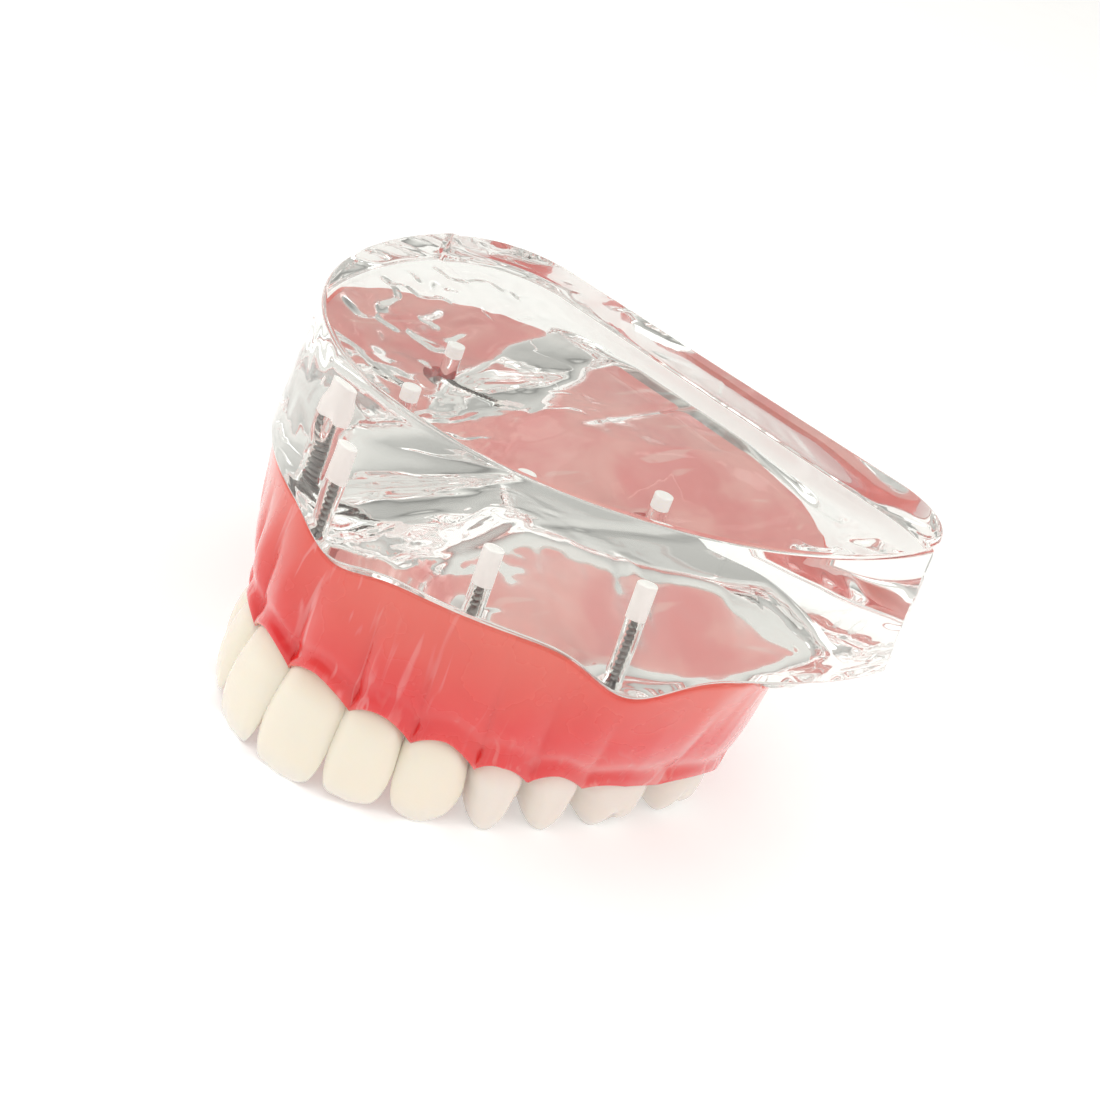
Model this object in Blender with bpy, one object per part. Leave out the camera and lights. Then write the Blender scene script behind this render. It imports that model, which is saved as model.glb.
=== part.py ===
"""Upper-jaw implant overdenture teaching model.

A clear cast jaw block carries four small ball-headed implants. A pink full
denture with fourteen separate teeth snaps onto the balls through an O-ring in
a metal housing at each one, and pulls straight off along Z.

Frame: +Z up, the teeth point down and their tips rest on z = 0. The incisors
face -Y and the patient's left side is +X. Lengths below are millimetres.

Most shapes are laid out on polar stations around a hub on the denture's rear
edge: a bearing of 0 degrees points forward (-Y), 90 degrees along +X.
"""

import math

import bmesh
import bpy
import numpy as np

MM = 0.001
GAP = 0.3                      # clearance between neighbouring pieces

# Jaw block
BLOCK_HEIGHT = 39.8            # base face above the tooth tips
BLOCK_HALF_WIDTH = 38.0        # at the bottom lip, before draft
BLOCK_FRONT = -27.0
BLOCK_TOP_FRONT = -25.2        # the nose leans back towards the top face
BLOCK_WIDEST_Y = 18.4          # where the sides run straight
BLOCK_REAR = 29.8
BLOCK_NOSE_POWER = 1.86
BLOCK_TOP_POWER = 1.92
BLOCK_SIDE_TAPER = -0.8        # the sides close in towards the rear
BLOCK_CORNER = 11.2
BLOCK_DRAFT = 0.8              # the top outline is this much smaller
TOP_EDGE = 0.5
LIP_INSET = 0.3
LIP_HEIGHT = 0.4

# Denture and ridge, around the hub
HUB_Y = 22.8
SEAM_HEIGHT = 25.1             # where block and denture meet on the wall
FRENUM_DIP = 2.1
FRENUM_REACH = 5.1
BUTTRESS_DIP = 3.6
BUTTRESS_REACH = 5.6
BUTTRESS_AT = 33.2             # along the wall from the midline
RIDGE_FRONT = -16.9
RIDGE_LENGTH = 36.0
RIDGE_HALF_WIDTH = 18.6
RIDGE_CREST = 17.0
RIDGE_FLARE = 3.2              # the crest runs wider under the back teeth
FLARE_START = 38.0
FLARE_END = 66.0
VAULT_HEIGHT = 25.6
VAULT_SHARE = 0.44             # share of the hub-to-crest distance that is flat
SLOPE_EASE = 0.2               # share of the palate's slope that rounds off at each end
CREST_EASE = 2.5               # how broad the crest is before the outer slope steepens
TUBEROSITY_START = 50.0
TUBEROSITY_CREST = 21.6
REAR_CREST_SHARE = 0.608
PALATE_THICKNESS = 2.2
DISTAL_START = 52.0            # bearing where the flange leaves the block's wall
DISTAL_INSET = 16.3
DISTAL_PULL = 20.0             # how fast its edge turns in behind the last molar, mm per radian
DISTAL_RISE = 14.0             # and how far that edge climbs by the denture's rear
DISTAL_EASE = 0.15

# Dental arch through the cusp tips and incisal edges
ARCH_FRONT = -29.3
ARCH_STEPS = 600

# name, width, direction of its edge in the arch (degrees), gum height, papilla drop,
# tip height, tilt of the neck inwards, and how far the cheek and tongue faces of its
# neck lie outside the tip line
TEETH = (
    ("central_incisor", 8.3, 14.0, 12.0, 2.1, 0.0, 1.9, -1.7, -7.7),
    ("lateral_incisor", 7.1, 39.5, 11.0, 2.0, 0.6, 1.6, -1.4, -7.4),
    ("canine", 7.8, 57.5, 10.0, 2.4, 0.0, 0.9, -0.7, -7.0),
    ("first_premolar", 6.45, 65.5, 8.6, 2.0, 0.0, 0.2, 1.1, -7.5),
    ("second_premolar", 6.75, 70.0, 7.9, 2.0, 0.0, -0.1, 1.3, -7.5),
    ("first_molar", 10.0, 77.5, 6.5, 1.2, 0.0, -0.3, 1.7, -9.0),
    ("second_molar", 9.3, 87.0, 6.2, 1.0, 0.3, -0.3, 1.7, -9.0),
)
TOOTH_STUB = 1.4               # how far a tooth goes into the pink above its gum line
GUM_PROUD = 0.6                # the pink stands this far outside a neck
PAPILLA_RECESS = 0.8           # and this far back between two teeth
MOLAR_DEPTH = 10.6
PREMOLAR_DEPTH = 9.0
FRONT_TAPER = 0.42             # crowns narrow towards the tongue
PREMOLAR_TAPER = 0.16
MOLAR_TAPER = 0.1
WIDEST = 0.35                  # teeth are widest this far from mid-depth to the cheek face

# Implants and their attachments
IMPLANT_BEARINGS = (13.7, 35.6)
THREAD_RADIUS = 0.75
CORE_RADIUS = 0.55
THREAD_PITCH = 0.9
BORE_RADIUS = 1.0
BORE_TOP = 28.4
IMPLANT_TOP = 24.2
COLLAR_TOP = 16.6
COLLAR_RADIUS = 1.2
BALL_RADIUS = 0.9
BALL_HEIGHT = 14.9
HOUSING_RADIUS = 2.4
HOUSING_BOTTOM = 12.7
HOUSING_TOP = 16.0
HOUSING_WALL = 0.4
HOUSING_MOUTH = 1.55
RING_TUBE = 0.33
RING_INNER = 1.0

# Mesh density
STEPS_PER_TOOTH = 4
CREST_LIMIT = 0.9              # the crest ring stays inside the denture's outline
SLOPE_SHARES = (0.2, 0.44, 0.58, 0.7, 0.82, 0.92, 1.0)
OUTER_SHARES = (0.25, 0.5, 0.75, 1.0)
TOOTH_SIDES = 12
TURN_SIDES = 12


def remove_everything():
    for item in list(bpy.data.objects):
        bpy.data.objects.remove(item, do_unlink=True)


def make_material(name, colour, roughness, metallic=0.0, transmission=0.0):
    material = bpy.data.materials.new(name)
    material.use_nodes = True
    shader = material.node_tree.nodes["Principled BSDF"]
    shader.inputs["Base Color"].default_value = (*colour, 1.0)
    shader.inputs["Roughness"].default_value = roughness
    shader.inputs["Metallic"].default_value = metallic
    shader.inputs["Transmission Weight"].default_value = transmission
    return material


def make_object(name, points, faces, material, smooth=False):
    """A closed mesh object from points in millimetres."""
    mesh = bpy.data.meshes.new(name)
    mesh.from_pydata([tuple(value * MM for value in point) for point in points], [], faces)
    shell = bmesh.new()
    shell.from_mesh(mesh)
    bmesh.ops.remove_doubles(shell, verts=shell.verts, dist=1e-6)
    bmesh.ops.recalc_face_normals(shell, faces=shell.faces)
    shell.to_mesh(mesh)
    shell.free()
    if smooth:
        mesh.shade_smooth()
        mesh.set_sharp_from_angle(angle=math.radians(50))
    if material:
        mesh.materials.append(material)
    result = bpy.data.objects.new(name, mesh)
    bpy.context.collection.objects.link(result)
    return result


def smooth_step(value):
    value = np.clip(value, 0.0, 1.0)
    return value * value * (3.0 - 2.0 * value)


def even_slope(share, ease):
    """0 to 1 with a straight middle and rounded ends."""
    share = min(1.0, max(0.0, share))
    steep = 1.0 / (1.0 - ease)
    if share < ease:
        return 0.5 * steep * share ** 2 / ease
    if share > 1.0 - ease:
        return 1.0 - 0.5 * steep * (1.0 - share) ** 2 / ease
    return steep * (share - 0.5 * ease)


def eased(share, ease):
    """Leaves 0 level and then runs straight through 1."""
    return share * share * (1.0 + ease) / (share + ease)


# ---------------------------------------------------------------- plan curves

def quarter_curve(half_width, length, power, front, count=600):
    """A rounded quarter from the front midline to the widest point."""
    angle = np.linspace(0.0, math.pi / 2, count)
    x = half_width * np.sin(angle) ** (2 / power)
    y = front + length - length * np.cos(angle) ** (2 / power)
    return np.column_stack([x, y])


def block_outline(inset, top=0.0):
    """One side of the block's outline at its bottom (top 0) or its top face (top 1)."""
    inset = inset + BLOCK_DRAFT * top
    front = BLOCK_FRONT + (BLOCK_TOP_FRONT - BLOCK_FRONT) * top
    power = BLOCK_NOSE_POWER + (BLOCK_TOP_POWER - BLOCK_NOSE_POWER) * top
    nose = quarter_curve(BLOCK_HALF_WIDTH - inset, BLOCK_WIDEST_Y - front - inset, power,
                         front + inset)
    corner = [BLOCK_HALF_WIDTH + BLOCK_SIDE_TAPER - BLOCK_CORNER, BLOCK_REAR - BLOCK_CORNER]
    turn = np.linspace(0.0, math.pi / 2, 60)
    bend = np.column_stack([corner[0] + (BLOCK_CORNER - inset) * np.cos(turn),
                            corner[1] + (BLOCK_CORNER - inset) * np.sin(turn)])
    rear = np.column_stack([np.linspace(corner[0], 0.0, 60), np.full(60, BLOCK_REAR - inset)])
    return np.concatenate([nose, bend, rear[1:]])


def polar_table(points):
    """Bearings, radii and running length of a plan curve seen from the hub."""
    offset = points - np.array([0.0, HUB_Y])
    bearing = np.arctan2(offset[:, 0], -offset[:, 1])
    radius = np.hypot(offset[:, 0], offset[:, 1])
    steps = np.hypot(*np.diff(points, axis=0).T)
    length = np.concatenate([[0.0], np.cumsum(steps)])
    order = np.argsort(bearing)
    return bearing[order], radius[order], length[order]


WALL = polar_table(block_outline(0.0))
LIP = polar_table(block_outline(LIP_INSET))
LIP_TURN = polar_table(block_outline(0.3 * LIP_INSET))
TOP_WALL = polar_table(block_outline(0.0, 1.0))
TOP_FACE = polar_table(block_outline(TOP_EDGE, 1.0))
RIDGE = polar_table(np.concatenate([
    quarter_curve(RIDGE_HALF_WIDTH, RIDGE_LENGTH, 2.0, RIDGE_FRONT),
    [[RIDGE_HALF_WIDTH, HUB_Y + 1.0]],
]))
CONTACTS = np.concatenate([[0.0], np.cumsum([tooth[1] for tooth in TEETH])])


def arch_curve():
    """The arch turns smoothly through the direction of each tooth's edge, then runs on back."""
    middles = 0.5 * (CONTACTS[1:] + CONTACTS[:-1])
    run = np.linspace(0.0, CONTACTS[-1] + 30.0, ARCH_STEPS)
    turn = np.interp(run, [0.0, *middles], [0.0, *(math.radians(tooth[2]) for tooth in TEETH)])
    middle = 0.5 * (turn[1:] + turn[:-1])
    step = run[1] - run[0]
    x = np.concatenate([[0.0], np.cumsum(np.cos(middle) * step)])
    y = ARCH_FRONT + np.concatenate([[0.0], np.cumsum(np.sin(middle) * step)])
    return run, np.column_stack([x, y])


ARCH_RUN, ARCH_POINTS = arch_curve()
ARCH = polar_table(ARCH_POINTS)


def read(table, bearing, column=1):
    return float(np.interp(abs(bearing), table[0], table[column]))


def arch_point(run):
    """Point on the dental arch at a signed length from the midline."""
    x = math.copysign(1.0, run) * np.interp(abs(run), ARCH_RUN, ARCH_POINTS[:, 0])
    return float(x), float(np.interp(abs(run), ARCH_RUN, ARCH_POINTS[:, 1]))


def bearing_of(point):
    return math.atan2(point[0], HUB_Y - point[1])


def place(bearing, radius, height):
    return (radius * math.sin(bearing), HUB_Y - radius * math.cos(bearing), height)


# ---------------------------------------------------------- jaw relief heights

def seam_radius(bearing):
    """Inner edge of the block's rounded bottom lip."""
    return read(LIP, bearing)


def seam_height(bearing):
    run = read(WALL, bearing, 2)
    frenum = FRENUM_DIP * math.exp(-(run / FRENUM_REACH) ** 2)
    buttress = BUTTRESS_DIP * math.exp(-((run - BUTTRESS_AT) / BUTTRESS_REACH) ** 2)
    return SEAM_HEIGHT - frenum - buttress


def crest_radius(bearing):
    if abs(bearing) >= math.pi / 2:
        return REAR_CREST_SHARE * seam_radius(bearing)
    turn = (math.degrees(abs(bearing)) - FLARE_START) / (FLARE_END - FLARE_START)
    return read(RIDGE, bearing) + RIDGE_FLARE * float(smooth_step(turn))


def crest_height(bearing):
    start = math.radians(TUBEROSITY_START)
    rise = even_slope((abs(bearing) - start) / (math.pi / 2 - start), SLOPE_EASE)
    return RIDGE_CREST + (TUBEROSITY_CREST - RIDGE_CREST) * rise


def jaw_height(bearing, radius):
    """Underside of the block: flat vault, down to the ridge, then up to the wall."""
    crest = crest_radius(bearing)
    low = crest_height(bearing)
    if radius <= crest:
        share = (1.0 - radius / crest) / (1.0 - VAULT_SHARE)
        return low + (VAULT_HEIGHT - low) * even_slope(share, SLOPE_EASE)
    share = (radius - crest) / (seam_radius(bearing) - crest)
    return low + (seam_height(bearing) - low) * eased(share, CREST_EASE)


def relief_radii(bearing):
    """Where the rings of the block's underside and the denture's fitting face cross."""
    inside = abs(bearing) <= math.pi / 2 + 1e-6
    outer = denture_radius(bearing) if inside else seam_radius(bearing) - GAP
    crest = min(crest_radius(bearing), CREST_LIMIT * outer)
    return ([share * crest for share in SLOPE_SHARES]
            + [crest + share * (outer - crest) for share in OUTER_SHARES])


# ------------------------------------------------------------- denture outline

def denture_radius(bearing):
    """The flange follows the block's lip, then curves in behind the last molar."""
    start = math.radians(DISTAL_START)
    share = max(0.0, (abs(bearing) - start) / (math.pi / 2 - start))
    return seam_radius(bearing) - GAP - DISTAL_INSET * eased(share, DISTAL_EASE)


def tooth_values(run):
    """Gum height, scallop, and outer and inner neck offsets at a length along the arch."""
    run = abs(run)
    middles = 0.5 * (CONTACTS[1:] + CONTACTS[:-1])
    index = min(int(np.searchsorted(CONTACTS, run, side="right")) - 1, len(TEETH) - 1)
    share = min(1.0, (run - CONTACTS[index]) / TEETH[index][1])
    scallop = math.sin(math.pi * share) ** 0.6 if 0.0 < share < 1.0 else 0.0
    gum, drop, outer, inner = (float(np.interp(run, middles, [tooth[column] for tooth in TEETH]))
                               for column in (3, 4, 7, 8))
    return gum - drop * (1.0 - scallop), scallop, outer, inner


def oral_height(bearing, radius, inner, lingual):
    """Polished underside of the denture from the palate to the teeth's inner necks."""
    crest = crest_radius(bearing)
    flat = VAULT_HEIGHT - GAP - PALATE_THICKNESS
    end = min(0.93, inner / crest)
    share = (end - radius / crest) / (end - VAULT_SHARE + 0.04)
    height = lingual + (flat - lingual) * float(smooth_step(share))
    return min(height, jaw_height(bearing, radius) - GAP - PALATE_THICKNESS)


def denture_section(bearing, run):
    """Closed loop of (radius, height) around the denture at one bearing."""
    outer = denture_radius(bearing)
    top = jaw_height(bearing, outer) - GAP
    last = bearing_of(arch_point(CONTACTS[-1]))
    beyond = max(0.0, abs(bearing) - last)
    rise = beyond / (math.pi / 2 - last)
    gum, scallop, neck_out, neck_in = tooth_values(min(run, CONTACTS[-1]))
    arch = read(ARCH, bearing - math.copysign(beyond, bearing))
    edge = arch + neck_out + GUM_PROUD - PAPILLA_RECESS * (1.0 - scallop)
    inner = arch + neck_in - GUM_PROUD
    edge_beyond = min(edge - DISTAL_PULL * beyond, outer - 0.5)
    if run > CONTACTS[-1]:
        inner = edge_beyond - (edge - inner) * (1.0 - rise) - 3.0 * rise
        edge = edge_beyond
    lingual = 0.5 * gum + 4.2 + DISTAL_RISE * rise
    gum = gum + DISTAL_RISE * rise
    loop = []
    for share in (0.0, 0.3, 0.6, 0.85):
        radius = outer + (edge - outer) * share
        swell = (0.3 + 0.4 * scallop) * math.sin(math.pi * share)
        loop.append((radius + swell, top + (gum + 0.3 - top) * share))
    loop.append((edge, gum + 0.25))
    loop.append((edge - 0.6, gum))
    loop.append((0.5 * (edge + inner), 0.5 * (gum + lingual) + 0.6))
    for share in (1.0, 0.9, 0.78, 0.64, 0.48, 0.3):
        radius = inner * share
        loop.append((radius, oral_height(bearing, radius, inner, lingual)))
    loop.append((0.0, VAULT_HEIGHT - GAP - PALATE_THICKNESS))
    loop.append((0.0, jaw_height(bearing, 0.0) - GAP))
    for radius in relief_radii(bearing)[:-1]:
        loop.append((radius, jaw_height(bearing, radius) - GAP))
    return loop


def front_stations():
    """Signed (bearing, arch length) pairs from the right rear to the left rear."""
    stations = []
    for index, tooth in enumerate(TEETH):
        for step in range(STEPS_PER_TOOTH):
            run = CONTACTS[index] + tooth[1] * step / STEPS_PER_TOOTH
            stations.append((bearing_of(arch_point(run)), run))
    last = bearing_of(arch_point(CONTACTS[-1]))
    stations.append((last, CONTACTS[-1]))
    extra = 3
    for step in range(1, extra + 1):
        bearing = last + (math.pi / 2 - last) * step / extra
        stations.append((bearing, CONTACTS[-1] + step))
    return [(-bearing, run) for bearing, run in stations[:0:-1]] + stations


STATIONS = front_stations()


def ring_surface(rings, closed):
    """Quads between neighbouring loops of equal length."""
    count = len(rings[0])
    faces = []
    last = len(rings) if closed else len(rings) - 1
    for row in range(last):
        ahead = (row + 1) % len(rings)
        for column in range(count):
            after = (column + 1) % count
            faces.append((row * count + column, row * count + after,
                          ahead * count + after, ahead * count + column))
    return faces


def denture_base(material):
    sections = [denture_section(bearing, run) for bearing, run in STATIONS]
    points = []
    for (bearing, _), section in zip(STATIONS, sections):
        points.extend(place(bearing, radius, height) for radius, height in section)
    count = len(sections[0])
    faces = ring_surface(sections, closed=False)
    faces.append(tuple(range(count)))
    faces.append(tuple(range(len(points) - count, len(points))))
    return make_object("denture_base", points, faces, material, smooth=True)


# ------------------------------------------------------------------ jaw block

def rear_stations():
    """Bearings of the block's rear half, left to right around the corners."""
    corner = BLOCK_HALF_WIDTH + BLOCK_SIDE_TAPER - BLOCK_CORNER
    marks = []
    for step in range(1, 7):
        turn = math.pi / 2 * step / 6
        marks.append((corner + BLOCK_CORNER * math.cos(turn),
                      BLOCK_REAR - BLOCK_CORNER + BLOCK_CORNER * math.sin(turn)))
    for share in (0.66, 0.33, 0.0):
        marks.append((corner * share, BLOCK_REAR))
    bearings = [bearing_of(mark) for mark in marks]
    bearings = [value for value in bearings if value > math.pi / 2 + 0.04]
    return bearings + [-value for value in bearings[-2::-1]]


def clear_base(material):
    bearings = [bearing for bearing, _ in STATIONS] + rear_stations()
    relief = [relief_radii(b) for b in bearings]
    rings = [[(radii[step], None) for radii in relief] for step in range(len(relief[0]))]
    rings.append([(seam_radius(b), seam_height(b)) for b in bearings])
    rings.append([(read(LIP_TURN, b), seam_height(b) + 0.3 * LIP_HEIGHT) for b in bearings])
    rings.append([(read(WALL, b), seam_height(b) + LIP_HEIGHT) for b in bearings])
    rings.append([(read(TOP_WALL, b), BLOCK_HEIGHT - TOP_EDGE) for b in bearings])
    rings.append([(read(TOP_FACE, b), BLOCK_HEIGHT) for b in bearings])
    points = []
    for ring in rings:
        for bearing, (radius, height) in zip(bearings, ring):
            level = jaw_height(bearing, radius) if height is None else height
            points.append(place(bearing, radius, level))
    faces = ring_surface(rings, closed=False)
    count = len(bearings)
    hub = len(points)
    points.append(place(0.0, 0.0, VAULT_HEIGHT))
    faces.extend((hub, column, (column + 1) % count) for column in range(count))
    faces.append(tuple(range(hub - count, hub)))
    return make_object("clear_base", points, faces, material, smooth=True)


# ---------------------------------------------------------------------- teeth

def cusp_table(kind, width):
    """Cusp tips as (towards distal, towards the cheek, height above the tip plane)."""
    if kind == "molar":
        return ((-0.23 * width, 0.0, 0.0), (0.22 * width, -0.2, 0.25),
                (-0.18 * width, -6.0, 0.1), (0.24 * width, -5.6, 0.35))
    return ((0.0, 0.0, 0.0), (-0.03 * width, -5.0, 0.4))


def occlusal_height(cusps, x, y):
    """Rounded cones, one for each cusp, which meet in the grooves."""
    slope = 0.72
    blunt = 0.7
    cones = [tip + slope * (math.sqrt((x - cx) ** 2 + (y - cy) ** 2 + blunt ** 2) - blunt)
             for cx, cy, tip in cusps]
    return min(cones)


def section_points(half_width, outward, inward, power, taper, sides=TOOTH_SIDES):
    """A rounded section: outward is the cheek side; it narrows towards the tongue side."""
    points = []
    for step in range(sides):
        angle = 2 * math.pi * (step + 0.5) / sides
        x = math.copysign(abs(math.cos(angle)) ** (2 / power), math.cos(angle)) * half_width
        y = math.copysign(abs(math.sin(angle)) ** (2 / power), math.sin(angle))
        middle = 0.5 * (outward + inward)
        x *= 1.0 - taper * max(0.0, WIDEST - y) / (1.0 + WIDEST)
        points.append((x, middle + y * 0.5 * (outward - inward)))
    return points


def posterior_rings(kind, width, gum, grow):
    depth = MOLAR_DEPTH if kind == "molar" else PREMOLAR_DEPTH
    taper = MOLAR_TAPER if kind == "molar" else PREMOLAR_TAPER
    bulge = 1.7 if kind == "molar" else 1.6
    cusps = cusp_table(kind, width)
    half = 0.5 * width - 0.5 * GAP + grow
    rings = []
    for share in (0.35, 0.7, 1.0):
        ring = []
        edge = section_points(half * 0.84, 0.75 + grow, 1.15 - depth - grow, 2.5, taper)
        middle = 0.5 * (1.9 - depth)
        for x, y in edge:
            spot = (x * share, middle + (y - middle) * share)
            ring.append((*spot, occlusal_height(cusps, *spot) - grow))
        rings.append(ring)
    border = [point[2] for point in rings[-1]]
    top = gum + TOOTH_STUB + grow
    for share, fat in ((0.12, 0.6), (0.4, 1.0), (0.75, 0.75), (1.0, 0.3)):
        cheek = bulge * fat + 0.75 * (1 - fat)
        tongue = cheek - depth + 0.4 * (1 - fat)
        edge = section_points(half * (0.84 + 0.16 * fat), cheek + grow, tongue - grow, 2.5, taper)
        rings.append([(x, y, low + (top - low) * share) for (x, y), low in zip(edge, border)])
    return rings


def anterior_rings(kind, width, gum, grow):
    half = 0.5 * width - 0.5 * GAP + grow
    tip = 1.7 if kind == "canine" else 0.7
    profile = (
        # share of the height, width share, labial face, tongue face
        (0.0, 0.86, 0.0, -0.8),
        (0.1, 0.96, 0.35, -1.5),
        (0.3, 1.0, 0.85, -2.6),
        (0.55, 0.95, 1.0, -4.0),
        (0.8, 0.84, 0.75, -5.6),
        (1.0, 0.76, 0.2, -5.6),
        (1.16, 0.68, -0.3, -4.2),
    )
    top = gum + TOOTH_STUB + grow
    rings = []
    for share, fat, labial, lingual in profile:
        ring = []
        edge = section_points(half * fat, labial + grow, lingual - grow, 2.4, FRONT_TAPER)
        for x, y in edge:
            fade = max(0.0, 1.0 - share / 0.5)
            rounding = tip * (abs(x) / half) ** (1.3 if kind == "canine" else 3.0) * fade
            height = min(share * gum + rounding, top) if share <= 1.0 else top
            ring.append((x, y, height - (grow if share < 0.05 else 0.0)))
        rings.append(ring)
    return rings


def tooth_solid(name, index, side, material, grow=0.0):
    """One denture tooth, placed on the arch; side is 1 on the left and -1 on the right."""
    label, width, _, gum, _, lift, tilt = TEETH[index][:7]
    kind = label.split("_")[-1]
    if kind in ("molar", "premolar"):
        rings = posterior_rings(kind, width, gum - lift, grow)
    else:
        rings = anterior_rings(kind, width, gum - lift, grow)
    run = 0.5 * (CONTACTS[index] + CONTACTS[index + 1])
    here = arch_point(run)
    before = arch_point(CONTACTS[index])
    after = arch_point(CONTACTS[index + 1])
    along = np.array([after[0] - before[0], after[1] - before[1]])
    along = along / np.hypot(*along)
    out = np.array([along[1], -along[0]])
    points = []
    for ring in rings:
        for x, y, height in ring:
            lean = -tilt * height / gum
            spot = np.array(here) + along * x + out * (y + lean)
            points.append((side * spot[0], spot[1], height + lift))
    faces = ring_surface(rings, closed=False)
    count = TOOTH_SIDES
    faces.append(tuple(range(count)))
    faces.append(tuple(range(len(points) - count, len(points))))
    return make_object(name, points, faces, material, smooth=True)


# -------------------------------------------------------- implants and details

def turned_solid(name, profile, spot, material, sides=TURN_SIDES):
    """A solid of revolution about the vertical through spot; profile ends on the axis."""
    rings = [[(radius * math.cos(2 * math.pi * k / sides) + spot[0],
               radius * math.sin(2 * math.pi * k / sides) + spot[1], height)
              for k in range(sides)] for radius, height in profile if radius > 0.0]
    points = [point for ring in rings for point in ring]
    faces = ring_surface(rings, closed=False)
    ends = [height for radius, height in profile if radius == 0.0]
    first = len(points)
    points.append((spot[0], spot[1], ends[0]))
    faces.extend((first, k, (k + 1) % sides) for k in range(sides))
    base = (len(rings) - 1) * sides
    points.append((spot[0], spot[1], ends[1]))
    faces.extend((first + 1, base + k, base + (k + 1) % sides) for k in range(sides))
    return make_object(name, points, faces, material, smooth=True)


def implant_profile():
    profile = [(0.0, BALL_HEIGHT - BALL_RADIUS)]
    for step in range(1, 6):
        turn = math.radians(30 * step)
        profile.append((BALL_RADIUS * math.sin(turn), BALL_HEIGHT - BALL_RADIUS * math.cos(turn)))
    profile.append((0.5, BALL_HEIGHT + BALL_RADIUS))
    profile.append((COLLAR_RADIUS - 0.2, COLLAR_TOP - 0.6))
    profile.append((COLLAR_RADIUS, COLLAR_TOP - 0.4))
    profile.append((COLLAR_RADIUS, COLLAR_TOP))
    profile.append((CORE_RADIUS, COLLAR_TOP + 0.05))
    turns = int((IMPLANT_TOP - 0.8 - COLLAR_TOP) / THREAD_PITCH)
    for turn in range(turns):
        level = COLLAR_TOP + 0.4 + turn * THREAD_PITCH
        profile.append((CORE_RADIUS, level))
        profile.append((THREAD_RADIUS, level + 0.5 * THREAD_PITCH))
    profile.append((CORE_RADIUS, IMPLANT_TOP - 0.7))
    profile.append((0.0, IMPLANT_TOP))
    return profile


def housing_profile():
    inner = HOUSING_RADIUS - HOUSING_WALL
    return [
        (0.0, HOUSING_BOTTOM),
        (HOUSING_RADIUS - 0.25, HOUSING_BOTTOM),
        (HOUSING_RADIUS, HOUSING_BOTTOM + 0.25),
        (HOUSING_RADIUS, HOUSING_TOP),
        (HOUSING_MOUTH, HOUSING_TOP),
        (HOUSING_MOUTH, HOUSING_TOP - HOUSING_WALL),
        (inner, HOUSING_TOP - HOUSING_WALL - 0.1),
        (inner, HOUSING_BOTTOM + HOUSING_WALL),
        (0.0, HOUSING_BOTTOM + HOUSING_WALL),
    ]


def o_ring(name, spot, material):
    """A torus round the ball's widest line."""
    major = RING_INNER + RING_TUBE
    around = 16
    rings = []
    for step in range(around):
        turn = 2 * math.pi * step / around
        ring = []
        for k in range(8):
            wind = 2 * math.pi * k / 8
            reach = major + RING_TUBE * math.cos(wind)
            ring.append((spot[0] + reach * math.cos(turn), spot[1] + reach * math.sin(turn),
                         BALL_HEIGHT + RING_TUBE * math.sin(wind)))
        rings.append(ring)
    points = [point for ring in rings for point in ring]
    return make_object(name, points, ring_surface(rings, closed=True), material, smooth=True)


def cylinder_cutter(name, spot, radius, low, high, sides=TURN_SIDES):
    profile = [(0.0, low), (radius, low), (radius, high), (0.0, high)]
    cutter = turned_solid(name, profile, spot, None, sides)
    cutter.hide_render = True
    cutter.display_type = "WIRE"
    return cutter


def cut(target, cutter, solver="EXACT"):
    modifier = target.modifiers.new("cut_" + cutter.name, "BOOLEAN")
    modifier.operation = "DIFFERENCE"
    modifier.solver = solver
    modifier.object = cutter


def hang(item, parent):
    item.parent = parent


# ------------------------------------------------------------------- assembly

def build():
    remove_everything()
    acrylic = make_material("clear_acrylic", (0.93, 0.95, 0.94), 0.05, transmission=1.0)
    pink = make_material("pink_acrylic", (0.78, 0.12, 0.13), 0.25)
    enamel = make_material("tooth_resin", (0.86, 0.78, 0.62), 0.2)
    titanium = make_material("implant_metal", (0.45, 0.44, 0.43), 0.35, metallic=1.0)
    steel = make_material("housing_metal", (0.7, 0.7, 0.7), 0.25, metallic=1.0)
    rubber = make_material("ring_rubber", (0.05, 0.05, 0.05), 0.6)

    seat = bpy.data.objects.new("denture_frame", None)
    lift = bpy.data.objects.new("pull_off_axis", None)
    bpy.context.collection.objects.link(seat)
    bpy.context.collection.objects.link(lift)

    denture = denture_base(pink)
    hang(denture, seat)
    block = clear_base(acrylic)
    hang(block, lift)

    for side, side_name in ((1, "left"), (-1, "right")):
        for index, tooth in enumerate(TEETH):
            name = side_name + "_" + tooth[0]
            hang(tooth_solid(name, index, side, enamel), seat)
            socket = tooth_solid("socket_" + name, index, side, None, grow=GAP)
            socket.hide_render = True
            socket.display_type = "WIRE"
            cut(denture, socket, "MANIFOLD")

    number = 0
    for side in (1, -1):
        for degrees in IMPLANT_BEARINGS:
            number += 1
            bearing = side * math.radians(degrees)
            spot = place(bearing, crest_radius(bearing), 0.0)[:2]
            hang(turned_solid(f"implant_{number}", implant_profile(), spot, titanium), lift)
            hang(turned_solid(f"housing_{number}", housing_profile(), spot, steel, 16), seat)
            hang(o_ring(f"o_ring_{number}", spot, rubber), seat)
            bore = cylinder_cutter(f"bore_{number}", spot, BORE_RADIUS, 12.0, BORE_TOP)
            cut(block, bore)
            pocket = cylinder_cutter(f"pocket_{number}", spot, HOUSING_RADIUS + GAP,
                                     HOUSING_BOTTOM - GAP, 22.0, 16)
            cut(denture, pocket, "MANIFOLD")


build()
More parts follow.
